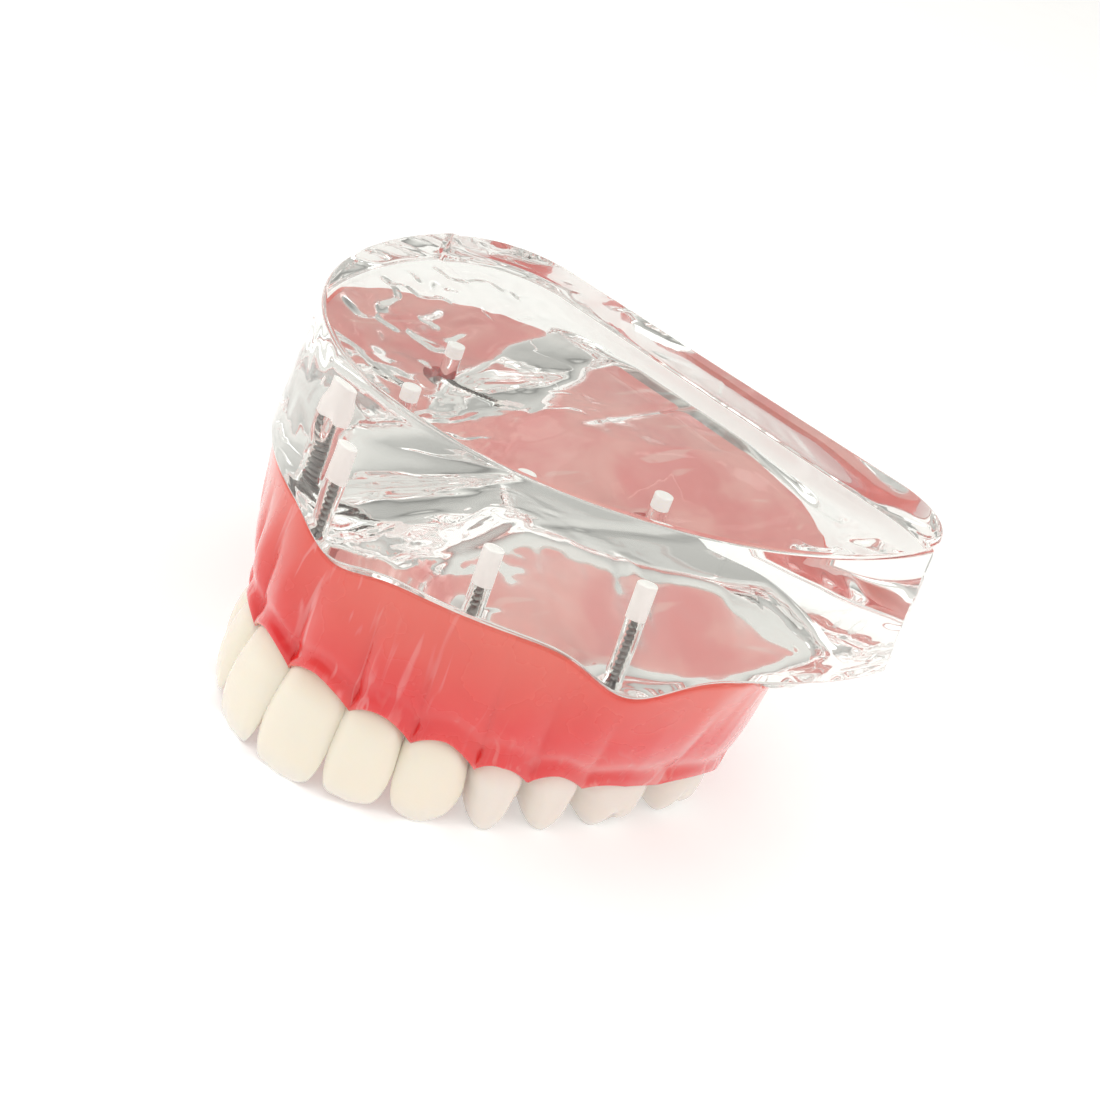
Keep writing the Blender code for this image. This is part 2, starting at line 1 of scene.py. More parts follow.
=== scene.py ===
"""Looks of the upper-jaw implant overdenture teaching model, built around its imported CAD.

A clear cast-acrylic jaw block with four ball-headed implants sits on a pink full
denture with fourteen teeth. Lengths here are millimetres unless a name ends in _M.
The teeth point down, the incisors face -Y and the patient's left side is +X.
"""

import math

import bmesh
import bpy
import numpy as np
from mathutils import Matrix, Vector


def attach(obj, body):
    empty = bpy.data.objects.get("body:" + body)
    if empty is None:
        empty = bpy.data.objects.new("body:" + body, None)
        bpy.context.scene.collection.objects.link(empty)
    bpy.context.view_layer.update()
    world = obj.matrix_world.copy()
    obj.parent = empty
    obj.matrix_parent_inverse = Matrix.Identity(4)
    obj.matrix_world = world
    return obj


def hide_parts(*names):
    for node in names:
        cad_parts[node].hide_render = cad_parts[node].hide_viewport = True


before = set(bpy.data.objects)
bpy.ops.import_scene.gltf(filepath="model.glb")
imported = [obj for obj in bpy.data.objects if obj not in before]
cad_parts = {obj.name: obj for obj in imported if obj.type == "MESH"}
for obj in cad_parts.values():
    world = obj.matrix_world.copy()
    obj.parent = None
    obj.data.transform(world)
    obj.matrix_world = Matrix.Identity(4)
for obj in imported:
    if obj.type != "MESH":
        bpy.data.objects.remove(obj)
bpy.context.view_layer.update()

MM = 0.001
GAP = 0.3

# Jaw block
BLOCK_HEIGHT = 39.8
BLOCK_HALF_WIDTH = 38.0
BLOCK_FRONT = -27.0
BLOCK_TOP_FRONT = -25.2
BLOCK_WIDEST_Y = 18.4
BLOCK_REAR = 29.8
BLOCK_NOSE_POWER = 1.86
BLOCK_TOP_POWER = 1.92
BLOCK_SIDE_TAPER = -0.8
BLOCK_CORNER = 11.2
BLOCK_DRAFT = 0.8
TOP_EDGE = 0.45
LIP_INSET = 0.3
LIP_HEIGHT = 0.4

# Ridge, vault and denture outline, around the hub on the denture's rear edge
HUB_Y = 22.8
SEAM_HEIGHT = 25.1
FRENUM_DIP = 2.1
FRENUM_REACH = 5.1
BUTTRESS_DIP = 3.6
BUTTRESS_REACH = 5.6
BUTTRESS_AT = 33.2
RIDGE_FRONT = -16.9
RIDGE_LENGTH = 36.0
RIDGE_HALF_WIDTH = 18.6
RIDGE_CREST = 17.0
RIDGE_FLARE = 3.2              # the crest runs wider under the back teeth
FLARE_START = 38.0
FLARE_END = 66.0
VAULT_HEIGHT = 25.6
VAULT_SHARE = 0.44
SLOPE_EASE = 0.2               # share of the palate's slope that rounds off at each end
CREST_EASE = 2.5
TUBEROSITY_START = 50.0
TUBEROSITY_CREST = 21.6
REAR_CREST_SHARE = 0.608
PALATE_THICKNESS = 2.2
DISTAL_START = 52.0
DISTAL_INSET = 16.3
DISTAL_PULL = 20.0             # mm per radian of bearing
DISTAL_RISE = 14.0
DISTAL_EASE = 0.15

# Dental arch
ARCH_FRONT = -29.3
ARCH_STEPS = 3000

# name, width, direction of its edge, gum height, papilla drop, tip height, tilt of the
# neck inwards, cheek and tongue faces of its neck from the tip line
TEETH = (
    ("central_incisor", 8.3, 14.0, 12.0, 2.1, 0.0, 1.9, -1.7, -7.7),
    ("lateral_incisor", 7.1, 39.5, 11.0, 2.0, 0.6, 1.6, -1.4, -7.4),
    ("canine", 7.8, 57.5, 10.0, 2.4, 0.0, 0.9, -0.7, -7.0),
    ("first_premolar", 6.45, 65.5, 8.6, 2.0, 0.0, 0.2, 1.1, -7.5),
    ("second_premolar", 6.75, 70.0, 7.9, 2.0, 0.0, -0.1, 1.3, -7.5),
    ("first_molar", 10.0, 77.5, 6.5, 1.2, 0.0, -0.3, 1.7, -9.0),
    ("second_molar", 9.3, 87.0, 6.2, 1.0, 0.3, -0.3, 1.7, -9.0),
)
TOOTH_STUB = 1.4                # how far a crown runs up into the gum
GUM_PROUD = 0.6
PAPILLA_RECESS = 0.8
GUM_ROLL = 0.42                # radius of the rolled gum margin
CONTACT_GAP = 0.06

# depth, narrowing towards the tongue, belly of the cheek face, share of the chewing table
BACK_CROWNS = {"molar": (10.6, 0.1, 1.7, 0.80), "premolar": (9.0, 0.16, 1.6, 0.62)}

# Implants and attachments
IMPLANT_BEARINGS = (13.7, 35.6)
THREAD_RADIUS = 0.75
CORE_RADIUS = 0.52
THREAD_PITCH = 0.7
THREAD_STEP = 0.06             # height between rows of points
BORE_RADIUS = 1.0
BORE_TOP = 28.4
BORE_BOTTOM = 12.0             # the cutter's lower end, below the ridge
BORE_CHAMFER = 0.15
# the frosted end above this height also carries a painted glow from its emission
FROST_RISE = 0.1               # the frosting starts this far above the implant
IMPLANT_TOP = 24.2
COLLAR_TOP = 16.6
COLLAR_RADIUS = 1.2
BALL_RADIUS = 0.9
BALL_HEIGHT = 14.9
HOUSING_RADIUS = 2.4
HOUSING_BOTTOM = 12.7
HOUSING_TOP = 16.0
HOUSING_WALL = 0.4
HOUSING_MOUTH = 1.55
RING_TUBE = 0.33
RING_INNER = 1.0
POCKET_ROOM = 0.1              # round a housing, in the denture
POCKET_TOP = 20.0              # the cutter's upper end, above the fitting side

# Relief of the block's underside and waves of its wall
RUGAE_RELIEF = 0.5
PAPILLA_RELIEF = 0.9
RAPHE_RELIEF = 0.12
SOCKET_RELIEF = 0.3
SOCKET_SPACING = 7.4
WALL_INSET = 0.05              # the waves swing about a wall this far inside the outline
WALL_WAVE = 0.05
WALL_FLOW = 0.10               # stronger waves near the left front

# Denture surface
RIM_ROLL = 0.35                # radius of the flange's rolled rim
FLANGE_SWELL = 0.35
ROOT_SWELL = 0.55
CUFF_RISE = 0.30               # bead along the gum margin
CUFF_DIP = 0.22                # hollow above the bead
VALLEY_DIP = 0.25              # between the roots
STREAK_RELIEF = 0.16
LUMP_RELIEF = 0.05
TONGUE_MARGIN = 4.2
TONGUE_ROLL = 0.5              # radius of the margin on the tongue side
PALATE_REACH = 0.93            # the palate's slope ends at this share of the crest at most

# Mesh rows and angles
BLOCK_COLUMNS = 640
VAULT_ROWS = 84
SLOPE_ROWS = 56
LIP_ROWS = 10
WALL_ROWS = 22
EDGE_ROWS = 7
ARCH_COLUMNS = 215
FLANGE_ROWS = 44
PALATE_ROWS = 46
FITTING_ROWS = 50
FITTING_SLOPE_ROWS = 30
SIDES = 72                     # round a crown
SHARP_TURNED = 35              # degrees
SHARP_CUT = 42
SHARP_THREAD = 50

# Sockets of the colour mixing node, which shares its names between kinds
MIX_SHARE, MIX_FIRST, MIX_SECOND, MIX_RESULT = 0, 6, 7, 2
BLACK = (0.0, 0.0, 0.0)

# Studio, in metres and watts
FLOOR_HALF_M = 2.5
FLOOR_STEPS = 24
PANEL_DISTANCE_M = 1.1
PANEL_AIM_M = (0.0, 0.0, 0.02)
# name, azimuth, elevation, width, height, power
PANELS = (
    ("key_panel", 10.0, 60.0, 0.9, 0.9, 2.6),
    ("left_panel", -60.0, 28.0, 0.5, 0.9, 1.6),
    ("right_panel", 110.0, 28.0, 0.3, 0.7, 1.4),
)
# share of the way up from straight down, brightness
SKY_STOPS = (
    (0.0, 0.8), (0.53, 0.76), (0.575, 0.38), (0.60, 0.18), (0.63, 0.36), (0.74, 0.48),
    (0.86, 0.62), (1.0, 0.68),
)
SKY_TINT = (1.0, 0.985, 0.94)
SKY_STRENGTH = 1.3
LIGHT_BOUNCES = 32

# Camera
CAMERA_DISTANCE = 211.46
CAMERA_AZIMUTH = 32.38
CAMERA_ELEVATION = 25.88
CAMERA_ROLL = 21.75
CAMERA_TARGET = (0.0, 20.0, 12.57)
CAMERA_FOCAL = 1778.7          # in units of the frame's width of 1100
CAMERA_AIM = (-48.9, 27.6)     # where the view's centre lies from the target, same units
FRAME_WIDTH = 1100.0
CLIP_START_M = 0.01
CLIP_END_M = 20.0


# ---- small helpers

def smooth_step(value):
    value = np.clip(value, 0.0, 1.0)
    return value * value * (3.0 - 2.0 * value)


def even_slope(share, ease):
    """0 to 1 with a straight middle and rounded ends."""
    share = np.clip(share, 0.0, 1.0)
    steep = 1.0 / (1.0 - ease)
    middle = steep * (share - 0.5 * ease)
    start = 0.5 * steep * share ** 2 / ease
    end = 1.0 - 0.5 * steep * (1.0 - share) ** 2 / ease
    return np.where(share < ease, start, np.where(share > 1.0 - ease, end, middle))


def eased(share, ease):
    """Leaves 0 level and then runs straight through 1."""
    share = np.clip(share, 0.0, None)
    return share * share * (1.0 + ease) / (share + ease)


def bump(value, middle, reach):
    """1 at the middle, fading to both sides."""
    return np.exp(-((value - middle) / reach) ** 2)


def field(x, y, scale, seed):
    """Smooth random values between -1 and 1 on the plane; the seed picks the pattern."""
    table = np.random.default_rng(seed).random((64, 64)) * 2.0 - 1.0
    u = np.asarray(x) / scale + 17.3
    v = np.asarray(y) / scale + 9.7
    cell_u = np.floor(u).astype(int)
    cell_v = np.floor(v).astype(int)
    share_u = u - cell_u
    share_v = v - cell_v
    share_u = share_u ** 3 * (share_u * (share_u * 6.0 - 15.0) + 10.0)
    share_v = share_v ** 3 * (share_v * (share_v * 6.0 - 15.0) + 10.0)
    low = (table[cell_u % 64, cell_v % 64] * (1 - share_u)
           + table[(cell_u + 1) % 64, cell_v % 64] * share_u)
    high = (table[cell_u % 64, (cell_v + 1) % 64] * (1 - share_u)
            + table[(cell_u + 1) % 64, (cell_v + 1) % 64] * share_u)
    return low * (1 - share_v) + high * share_v


def add_object(name, data):
    item = bpy.data.objects.new(name, data)
    bpy.context.scene.collection.objects.link(item)
    return item


def direction(azimuth, elevation):
    """From the model towards the given angles in degrees; azimuth 0 is the front."""
    azimuth = math.radians(azimuth)
    elevation = math.radians(elevation)
    return Vector((math.sin(azimuth) * math.cos(elevation),
                   -math.cos(azimuth) * math.cos(elevation), math.sin(elevation)))


def make_mesh(name, points, faces, materials, face_slots=None, sharp=None):
    """A smooth mesh object from points in millimetres, facing outwards."""
    mesh = bpy.data.meshes.new(name)
    mesh.from_pydata((np.asarray(points) * MM).tolist(), [], faces)
    for material in materials:
        mesh.materials.append(material)
    if face_slots is not None:
        mesh.polygons.foreach_set("material_index", face_slots)
    shell = bmesh.new()
    shell.from_mesh(mesh)
    bmesh.ops.remove_doubles(shell, verts=shell.verts, dist=1e-7)
    bmesh.ops.recalc_face_normals(shell, faces=shell.faces)
    shell.to_mesh(mesh)
    shell.free()
    mesh.shade_smooth()
    if sharp:
        mesh.set_sharp_from_angle(angle=math.radians(sharp))
    return add_object(name, mesh)


def ring_faces(rows, columns, close_rows=False, close_columns=True):
    """Quads over a grid of points stored row after row."""
    grid = np.arange(rows * columns).reshape(rows, columns)
    if close_rows:
        grid = np.vstack([grid, grid[:1]])
    if close_columns:
        grid = np.hstack([grid, grid[:, :1]])
    quads = np.stack([grid[:-1, :-1], grid[:-1, 1:], grid[1:, 1:], grid[1:, :-1]], axis=-1)
    return quads.reshape(-1, 4).tolist()


def add_caps(faces, total, sides):
    """Closes the first and the last ring of a grid of points."""
    faces.append(list(range(sides)))
    faces.append(list(range(total - sides, total)))


def apply_modifiers(item):
    graph = bpy.context.evaluated_depsgraph_get()
    result = bpy.data.meshes.new_from_object(item.evaluated_get(graph))
    old = item.data
    item.modifiers.clear()
    item.data = result
    bpy.data.meshes.remove(old)


def cut_with(item, cutters):
    """Cuts closed solids out of a piece and removes them."""
    for cutter in cutters:
        modifier = item.modifiers.new("cut", "BOOLEAN")
        modifier.operation = "DIFFERENCE"
        modifier.solver = "MANIFOLD"
        modifier.object = cutter
    apply_modifiers(item)
    for cutter in cutters:
        bpy.data.objects.remove(cutter, do_unlink=True)
    item.data.shade_smooth()
    item.data.set_sharp_from_angle(angle=math.radians(SHARP_CUT))


# ---- plan curves

def quarter_curve(half_width, length, power, front, count=4000):
    """A quarter of a superellipse, from its front on the midline to its widest place."""
    angle = np.linspace(0.0, math.pi / 2, count)
    x = half_width * np.sin(angle) ** (2 / power)
    y = front + length - length * np.cos(angle) ** (2 / power)
    return np.column_stack([x, y])


def block_outline(inset, top=0.0):
    """One side of the block's outline at its bottom (top 0) or its top face (top 1)."""
    inset = inset + BLOCK_DRAFT * top
    front = BLOCK_FRONT + (BLOCK_TOP_FRONT - BLOCK_FRONT) * top
    power = BLOCK_NOSE_POWER + (BLOCK_TOP_POWER - BLOCK_NOSE_POWER) * top
    nose = quarter_curve(BLOCK_HALF_WIDTH - inset, BLOCK_WIDEST_Y - front - inset, power,
                         front + inset)
    corner = [BLOCK_HALF_WIDTH + BLOCK_SIDE_TAPER - BLOCK_CORNER, BLOCK_REAR - BLOCK_CORNER]
    turn = np.linspace(0.0, math.pi / 2, 400)
    bend = np.column_stack([corner[0] + (BLOCK_CORNER - inset) * np.cos(turn),
                            corner[1] + (BLOCK_CORNER - inset) * np.sin(turn)])
    rear = np.column_stack([np.linspace(corner[0], 0.0, 200), np.full(200, BLOCK_REAR - inset)])
    return np.concatenate([nose, bend, rear[1:]])


def polar_table(points):
    """Bearing from the hub, radius and run along a plan curve."""
    offset = points - np.array([0.0, HUB_Y])
    bearing = np.arctan2(offset[:, 0], -offset[:, 1])
    radius = np.hypot(offset[:, 0], offset[:, 1])
    steps = np.hypot(*np.diff(points, axis=0).T)
    length = np.concatenate([[0.0], np.cumsum(steps)])
    order = np.argsort(bearing, kind="stable")
    return bearing[order], radius[order], length[order]


CONTACTS = np.concatenate([[0.0], np.cumsum([tooth[1] for tooth in TEETH])])


def arch_curve():
    """The run along the line of the tooth tips and its points, on the patient's left."""
    middles = 0.5 * (CONTACTS[1:] + CONTACTS[:-1])
    run = np.linspace(0.0, CONTACTS[-1] + 30.0, ARCH_STEPS)
    turn = np.interp(run, [0.0, *middles], [0.0, *(math.radians(tooth[2]) for tooth in TEETH)])
    middle = 0.5 * (turn[1:] + turn[:-1])
    step = run[1] - run[0]
    x = np.concatenate([[0.0], np.cumsum(np.cos(middle) * step)])
    y = ARCH_FRONT + np.concatenate([[0.0], np.cumsum(np.sin(middle) * step)])
    return run, np.column_stack([x, y])


WALL = polar_table(block_outline(0.0))
LIP = polar_table(block_outline(LIP_INSET))
RIDGE = polar_table(np.concatenate([
    quarter_curve(RIDGE_HALF_WIDTH, RIDGE_LENGTH, 2.0, RIDGE_FRONT),
    [[RIDGE_HALF_WIDTH, HUB_Y + 1.0]],
]))
ARCH_RUN, ARCH_POINTS = arch_curve()
ARCH = polar_table(ARCH_POINTS)


def read(table, bearing, column=1):
    """Radius (column 1) or run (column 2) at a bearing, alike on both sides."""
    return np.interp(np.abs(bearing), table[0], table[column])


def arch_point(run):
    x = np.sign(run) * np.interp(np.abs(run), ARCH_RUN, ARCH_POINTS[:, 0])
    return x, np.interp(np.abs(run), ARCH_RUN, ARCH_POINTS[:, 1])


def place(bearing, radius, height):
    """Points from bearings and radii round the hub."""
    bearing, radius, height = np.broadcast_arrays(bearing, radius, height)
    return np.stack([radius * np.sin(bearing), HUB_Y - radius * np.cos(bearing), height], axis=-1)


# ---- relief of the jaw

def seam_height(bearing):
    """The seam dips at the lip's frenum and at the buttresses of the cheekbones."""
    run = read(WALL, bearing, 2)
    dips = FRENUM_DIP * bump(run, 0.0, FRENUM_REACH)
    dips = dips + BUTTRESS_DIP * bump(run, BUTTRESS_AT, BUTTRESS_REACH)
    return SEAM_HEIGHT - dips


def crest_radius(bearing):
    rear = REAR_CREST_SHARE * read(LIP, bearing)
    flare = RIDGE_FLARE * smooth_step((np.degrees(np.abs(bearing)) - FLARE_START)
                                      / (FLARE_END - FLARE_START))
    return np.where(np.abs(bearing) >= math.pi / 2, rear, read(RIDGE, bearing) + flare)


def crest_height(bearing):
    start = math.radians(TUBEROSITY_START)
    rise = even_slope((np.abs(bearing) - start) / (math.pi / 2 - start), SLOPE_EASE)
    return RIDGE_CREST + (TUBEROSITY_CREST - RIDGE_CREST) * rise


def relief_detail(bearing, radius):
    """Rugae, papilla, raphe, healed sockets and cast unevenness, positive upwards."""
    x = radius * np.sin(bearing)
    y = HUB_Y - radius * np.cos(bearing)
    crest = crest_radius(bearing)
    share = radius / crest
    front = smooth_step((-2.0 - y) / 9.0)
    sides = bump(np.abs(bearing), 1.15, 0.42)
    slope = bump(share, 0.74, 0.2)
    rugae = np.sin(1.35 * (y + 0.42 * np.abs(x)) + 1.4 * field(x, y, 5.0, 3))
    beside = smooth_step((np.abs(x) - 0.6) / 2.2)
    detail = -RUGAE_RELIEF * front * slope * np.clip(rugae, -0.3, 1.0) * beside
    detail -= PAPILLA_RELIEF * bump(x, 0.0, 1.5) * bump(y, RIDGE_FRONT + 5.6, 3.2)
    detail -= RAPHE_RELIEF * bump(x, 0.0, 0.9) * smooth_step((y + 10.0) / 6.0)
    along = np.abs(bearing) * crest
    sockets = np.cos(2.0 * math.pi * along / SOCKET_SPACING)
    outside = (radius - crest) / (read(LIP, bearing) - crest)
    edge = 1.0 - smooth_step((outside - 0.62) / 0.36)
    inner = smooth_step((share - 0.5) / 0.26)
    flank = smooth_step((outside - 0.08) / 0.2)
    detail += SOCKET_RELIEF * sockets * inner * edge * (0.15 + 0.85 * front)
    warp_x = x + 1.5 * field(x, y, 3.4, 14)
    warp_y = y + 1.5 * field(x, y, 3.4, 15)
    broad = field(x, y, 6.5, 11)
    mid = field(warp_x, warp_y, 2.5, 12)
    fine = field(warp_x, warp_y, 1.2, 13)
    detail += edge * (0.16 * broad * (0.25 + 0.75 * inner)
                      + mid * inner * (0.04 + 0.62 * front)
                      + fine * inner * (0.01 + 0.24 * front))
    flank = flank * (1.0 - smooth_step((outside - 0.8) / 0.18))
    detail += (field(warp_x, warp_y, 2.8, 16) + 0.4 * mid) * sides * flank
    near = 1.0 - smooth_step((y - 5.0) / 10.0)
    detail += (0.10 * mid + 0.045 * fine) * near * (1.0 - inner)
    return detail


def jaw_height(bearing, radius):
    """The block's underside, from the vault over the ridge down to the seam."""
    crest = crest_radius(bearing)
    low = crest_height(bearing)
    rise = even_slope((1.0 - radius / crest) / (1.0 - VAULT_SHARE), SLOPE_EASE)
    inside = low + (VAULT_HEIGHT - low) * rise
    share = (radius - crest) / (read(LIP, bearing) - crest)
    outside = low + (seam_height(bearing) - low) * eased(share, CREST_EASE)
    return np.where(radius <= crest, inside, outside) + relief_detail(bearing, radius)


# ---- materials

def set_inputs(tree, node, inputs):
    """Links or sets a node's inputs; the keys are their names or places."""
    for key, value in inputs.items():
        socket = node.inputs[key]
        if isinstance(value, bpy.types.NodeSocket):
            tree.links.new(value, socket)
        elif socket.type == "RGBA":
            socket.default_value = (*value, 1.0)
        else:
            socket.default_value = value


def add_node(tree, kind, inputs, **settings):
    node = tree.nodes.new(kind)
    for key, value in settings.items():
        setattr(node, key, value)
    set_inputs(tree, node, inputs)
    return node


def new_material(name, inputs):
    material = bpy.data.materials.new(name)
    material.use_nodes = True
    tree = material.node_tree
    shader = tree.nodes["Principled BSDF"]
    set_inputs(tree, shader, inputs)
    return material, tree, shader


def noise_node(tree, scale, detail=3.0, roughness=0.5, distortion=0.0, stretch=None):
    """Noise over the piece's own coordinates, in metres."""
    source = add_node(tree, "ShaderNodeTexCoord", {}).outputs["Object"]
    if stretch:
        mapping = add_node(tree, "ShaderNodeMapping", {"Vector": source, "Scale": stretch})
        source = mapping.outputs["Vector"]
    noise = add_node(tree, "ShaderNodeTexNoise", {
        "Vector": source, "Scale": scale, "Detail": detail, "Roughness": roughness,
        "Distortion": distortion})
    return noise.outputs["Fac"]


def ramp(tree, source, stops, interpolation="EASE"):
    node = add_node(tree, "ShaderNodeValToRGB", {"Fac": source})
    node.color_ramp.interpolation = interpolation
    elements = node.color_ramp.elements
    while len(elements) < len(stops):
        elements.new(0.5)
    for element, (position, colour) in zip(elements, stops):
        element.position = position
        element.color = (*colour, 1.0)
    return node.outputs["Color"]


def grained(tree, source, dark, light, low=0.3, high=0.7):
    """Two colours that follow a noise."""
    return ramp(tree, source, ((low, dark), (high, light)))


def map_range(tree, source, limits):
    return add_node(tree, "ShaderNodeMapRange", {"Value": source, **limits}).outputs["Result"]


def span_value(tree, source, low, high):
    return map_range(tree, source, {"To Min": low, "To Max": high})


def coordinate(tree, kind, axis):
    where = add_node(tree, "ShaderNodeTexCoord", {})
    split = add_node(tree, "ShaderNodeSeparateXYZ", {"Vector": where.outputs[kind]})
    return split.outputs[axis]


def axis_share(tree, axis, low, high):
    """0 at low and 1 at high along an axis, both in metres in the piece's own frame."""
    return map_range(tree, coordinate(tree, "Object", axis), {"From Min": low, "From Max": high})


def mix_colour(tree, share, first, second):
    node = add_node(tree, "ShaderNodeMix", {MIX_SHARE: share, MIX_FIRST: first,
                                            MIX_SECOND: second}, data_type="RGBA")
    return node.outputs[MIX_RESULT]


def mix_surface(tree, output, share, first, second):
    """Sends a blend of two shaders to the output."""
    mix = add_node(tree, "ShaderNodeMixShader",
                   {0: share, 1: first.outputs[0], 2: second.outputs[0]})
    set_inputs(tree, tree.nodes[output], {"Surface": mix.outputs[0]})


def bump_from(tree, shader, source, distance, strength):
    node = add_node(tree, "ShaderNodeBump",
                    {"Height": source, "Distance": distance, "Strength": strength})
    set_inputs(tree, shader, {"Normal": node.outputs["Normal"]})


def clear_acrylic():
    """Polished cast acrylic; lamps reach what is behind it."""
    material, tree, shader = new_material("clear_acrylic", {
        "Base Color": (0.90, 0.915, 0.89), "IOR": 1.47, "Transmission Weight": 1.0})
    smudge = noise_node(tree, 160.0, 4.0)
    set_inputs(tree, shader, {"Roughness": span_value(tree, smudge, 0.0, 0.03)})
    bump_from(tree, shader, noise_node(tree, 170.0, 1.0), 0.00002, 0.4)
    path = add_node(tree, "ShaderNodeLightPath", {})
    clear = add_node(tree, "ShaderNodeBsdfTransparent", {})
    mix_surface(tree, "Material Output", path.outputs["Is Shadow Ray"], shader, clear)
    return material


def frosted_bore_painted_glow():
    """Milled, frosted end of an implant bore, with a painted glow: its emission makes it shine
    white though it is no lamp.
    """
    # the emission is a painted glow that brightens the frosted end
    material, tree, shader = new_material("frosted_bore_painted_glow", {
        "Roughness": 0.55, "Emission Color": (1.0, 0.99, 0.97), "Emission Strength": 0.22})
    grain = noise_node(tree, 2500.0)
    set_inputs(tree, shader, {
        "Base Color": grained(tree, grain, (0.90, 0.89, 0.86), (0.98, 0.97, 0.95))})
    bump_from(tree, shader, grain, 0.00003, 0.6)
    return material


def masked(tree, colour, region, source, low, high, strength, mark):
    """Adds marks of one colour where a noise is high, within a region."""
    marks = ramp(tree, source, ((low, BLACK), (high, (strength,) * 3)))
    return mix_colour(tree, mix_colour(tree, region, BLACK, marks), colour, mark)


def pink_acrylic():
    """Denture acrylic: deep red-pink, cloudier and paler towards the fitting side.

    The front has pale streaks painted in as highlights along its ridges, and the gum margin pale
    strokes painted in as its glossy highlights.
    """
    material, tree, shader = new_material("pink_acrylic", {
        "Subsurface Weight": 0.3, "Subsurface Radius": (1.0, 0.22, 0.18),
        "Subsurface Scale": 0.002, "IOR": 1.49, "Coat Weight": 0.8, "Coat Roughness": 0.15})
    cloud = noise_node(tree, 95.0, 2.0, 0.45, 0.4)
    deep = grained(tree, cloud, (0.73, 0.014, 0.017), (0.75, 0.038, 0.034), 0.34, 0.66)
    pale = mix_colour(tree, cloud, (0.71, 0.10, 0.068), (0.76, 0.18, 0.128))
    colour = mix_colour(tree, axis_share(tree, "Z", 0.0135, 0.0265), deep, pale)
    # pale streaks on the front: painted highlights along its ridges
    streak = noise_node(tree, 950.0, 1.0, 0.4, 0.8, (1.0, 1.0, 0.07))
    front = axis_share(tree, "Y", -0.015, -0.027)
    colour = masked(tree, colour, front, streak, 0.60, 0.74, 0.36, (0.86, 0.45, 0.45))
    # pale strokes near the gum margin: painted highlights of its gloss
    painted_margin_highlight = noise_node(tree, 700.0, 2.0, 0.5, 1.0, (1.0, 0.5, 0.22))
    margin = axis_share(tree, "Z", 0.0145, 0.0065)
    colour = masked(tree, colour, margin, painted_margin_highlight, 0.56, 0.70, 0.5, (0.82, 0.36, 0.33))
    roughness = span_value(tree, noise_node(tree, 200.0), 0.2, 0.34)
    set_inputs(tree, shader, {"Base Color": colour, "Roughness": roughness})
    bump_from(tree, shader, noise_node(tree, 160.0, 2.0), 0.00004, 0.15)
    return material


def fitting_acrylic():
    """Unpolished fitting side of the denture: matt, paler and cloudier."""
    material, tree, shader = new_material("fitting_acrylic", {"Specular IOR Level": 0.25})
    cloud = noise_node(tree, 120.0, 3.0, 0.5, 0.5)
    dusty = grained(tree, cloud, (0.84, 0.30, 0.29), (0.90, 0.45, 0.42), 0.32, 0.68)
    scratch = noise_node(tree, 330.0, 2.0, 0.5, 1.2, (1.0, 0.22, 1.0))
    marks = grained(tree, scratch, BLACK, (0.45, 0.45, 0.45), 0.60, 0.70)
    set_inputs(tree, shader, {
        "Base Color": mix_colour(tree, marks, dusty, (0.93, 0.66, 0.62)),
        "Roughness": span_value(tree, cloud, 0.5, 0.75)})
    bump_from(tree, shader, noise_node(tree, 300.0, 2.0), 0.00004, 0.35)
    return material


def tooth_resin(name, neck, body, edge, high):
    """Layered tooth resin: warm at the neck and greyer towards the biting edge."""
    material, tree, shader = new_material(name, {
        "Subsurface Weight": 0.35, "Subsurface Radius": (1.0, 0.75, 0.5),
        "Subsurface Scale": 0.0012, "IOR": 1.5, "Coat Weight": 0.35, "Coat Roughness": 0.06})
    blotch = noise_node(tree, 260.0, 2.0)
    layers = ramp(tree, axis_share(tree, "Z", 0.0, high),
                  ((0.0, edge), (0.26, body), (0.7, body), (1.0, neck)))
    set_inputs(tree, shader, {
        "Base Color": mix_colour(tree, span_value(tree, blotch, 0.0, 0.35), layers, body),
        "Roughness": span_value(tree, blotch, 0.16, 0.3)})
    growth_lines = noise_node(tree, 1300.0, 2.0, 0.5, 0.0, (1.0, 1.0, 2.6))
    bump_from(tree, shader, growth_lines, 0.00004, 0.35)
    return material


def metal(name, dark, light, roughness):
    """Turned metal with fine rings from the tool."""
    material, tree, shader = new_material(name, {"Metallic": 1.0})
    rings = noise_node(tree, 900.0, 2.0, 0.6, 0.0, (1.0, 1.0, 12.0))
    set_inputs(tree, shader, {
        "Base Color": grained(tree, rings, dark, light),
        "Roughness": span_value(tree, rings, roughness - 0.08, roughness + 0.08)})
    bump_from(tree, shader, rings, 0.00001, 0.4)
    return material


def ring_rubber():
    material, tree, shader = new_material("ring_rubber", {})
    grain = noise_node(tree, 1800.0)
    set_inputs(tree, shader, {
        "Base Color": grained(tree, grain, (0.03, 0.03, 0.032), (0.06, 0.06, 0.06)),
        "Roughness": span_value(tree, grain, 0.45, 0.65)})
    bump_from(tree, shader, grain, 0.00002, 0.5)
    return material


def floor_paper():
    material, tree, shader = new_material("floor_paper", {
        "Roughness": 0.9, "Specular IOR Level": 0.1, "Emission Color": (1.0, 1.0, 1.0),
        "Emission Strength": 0.26})
    grain = noise_node(tree, 40.0, 4.0)
    set_inputs(tree, shader, {
        "Base Color": grained(tree, grain, (0.93, 0.93, 0.93), (0.95, 0.95, 0.95))})
    return material


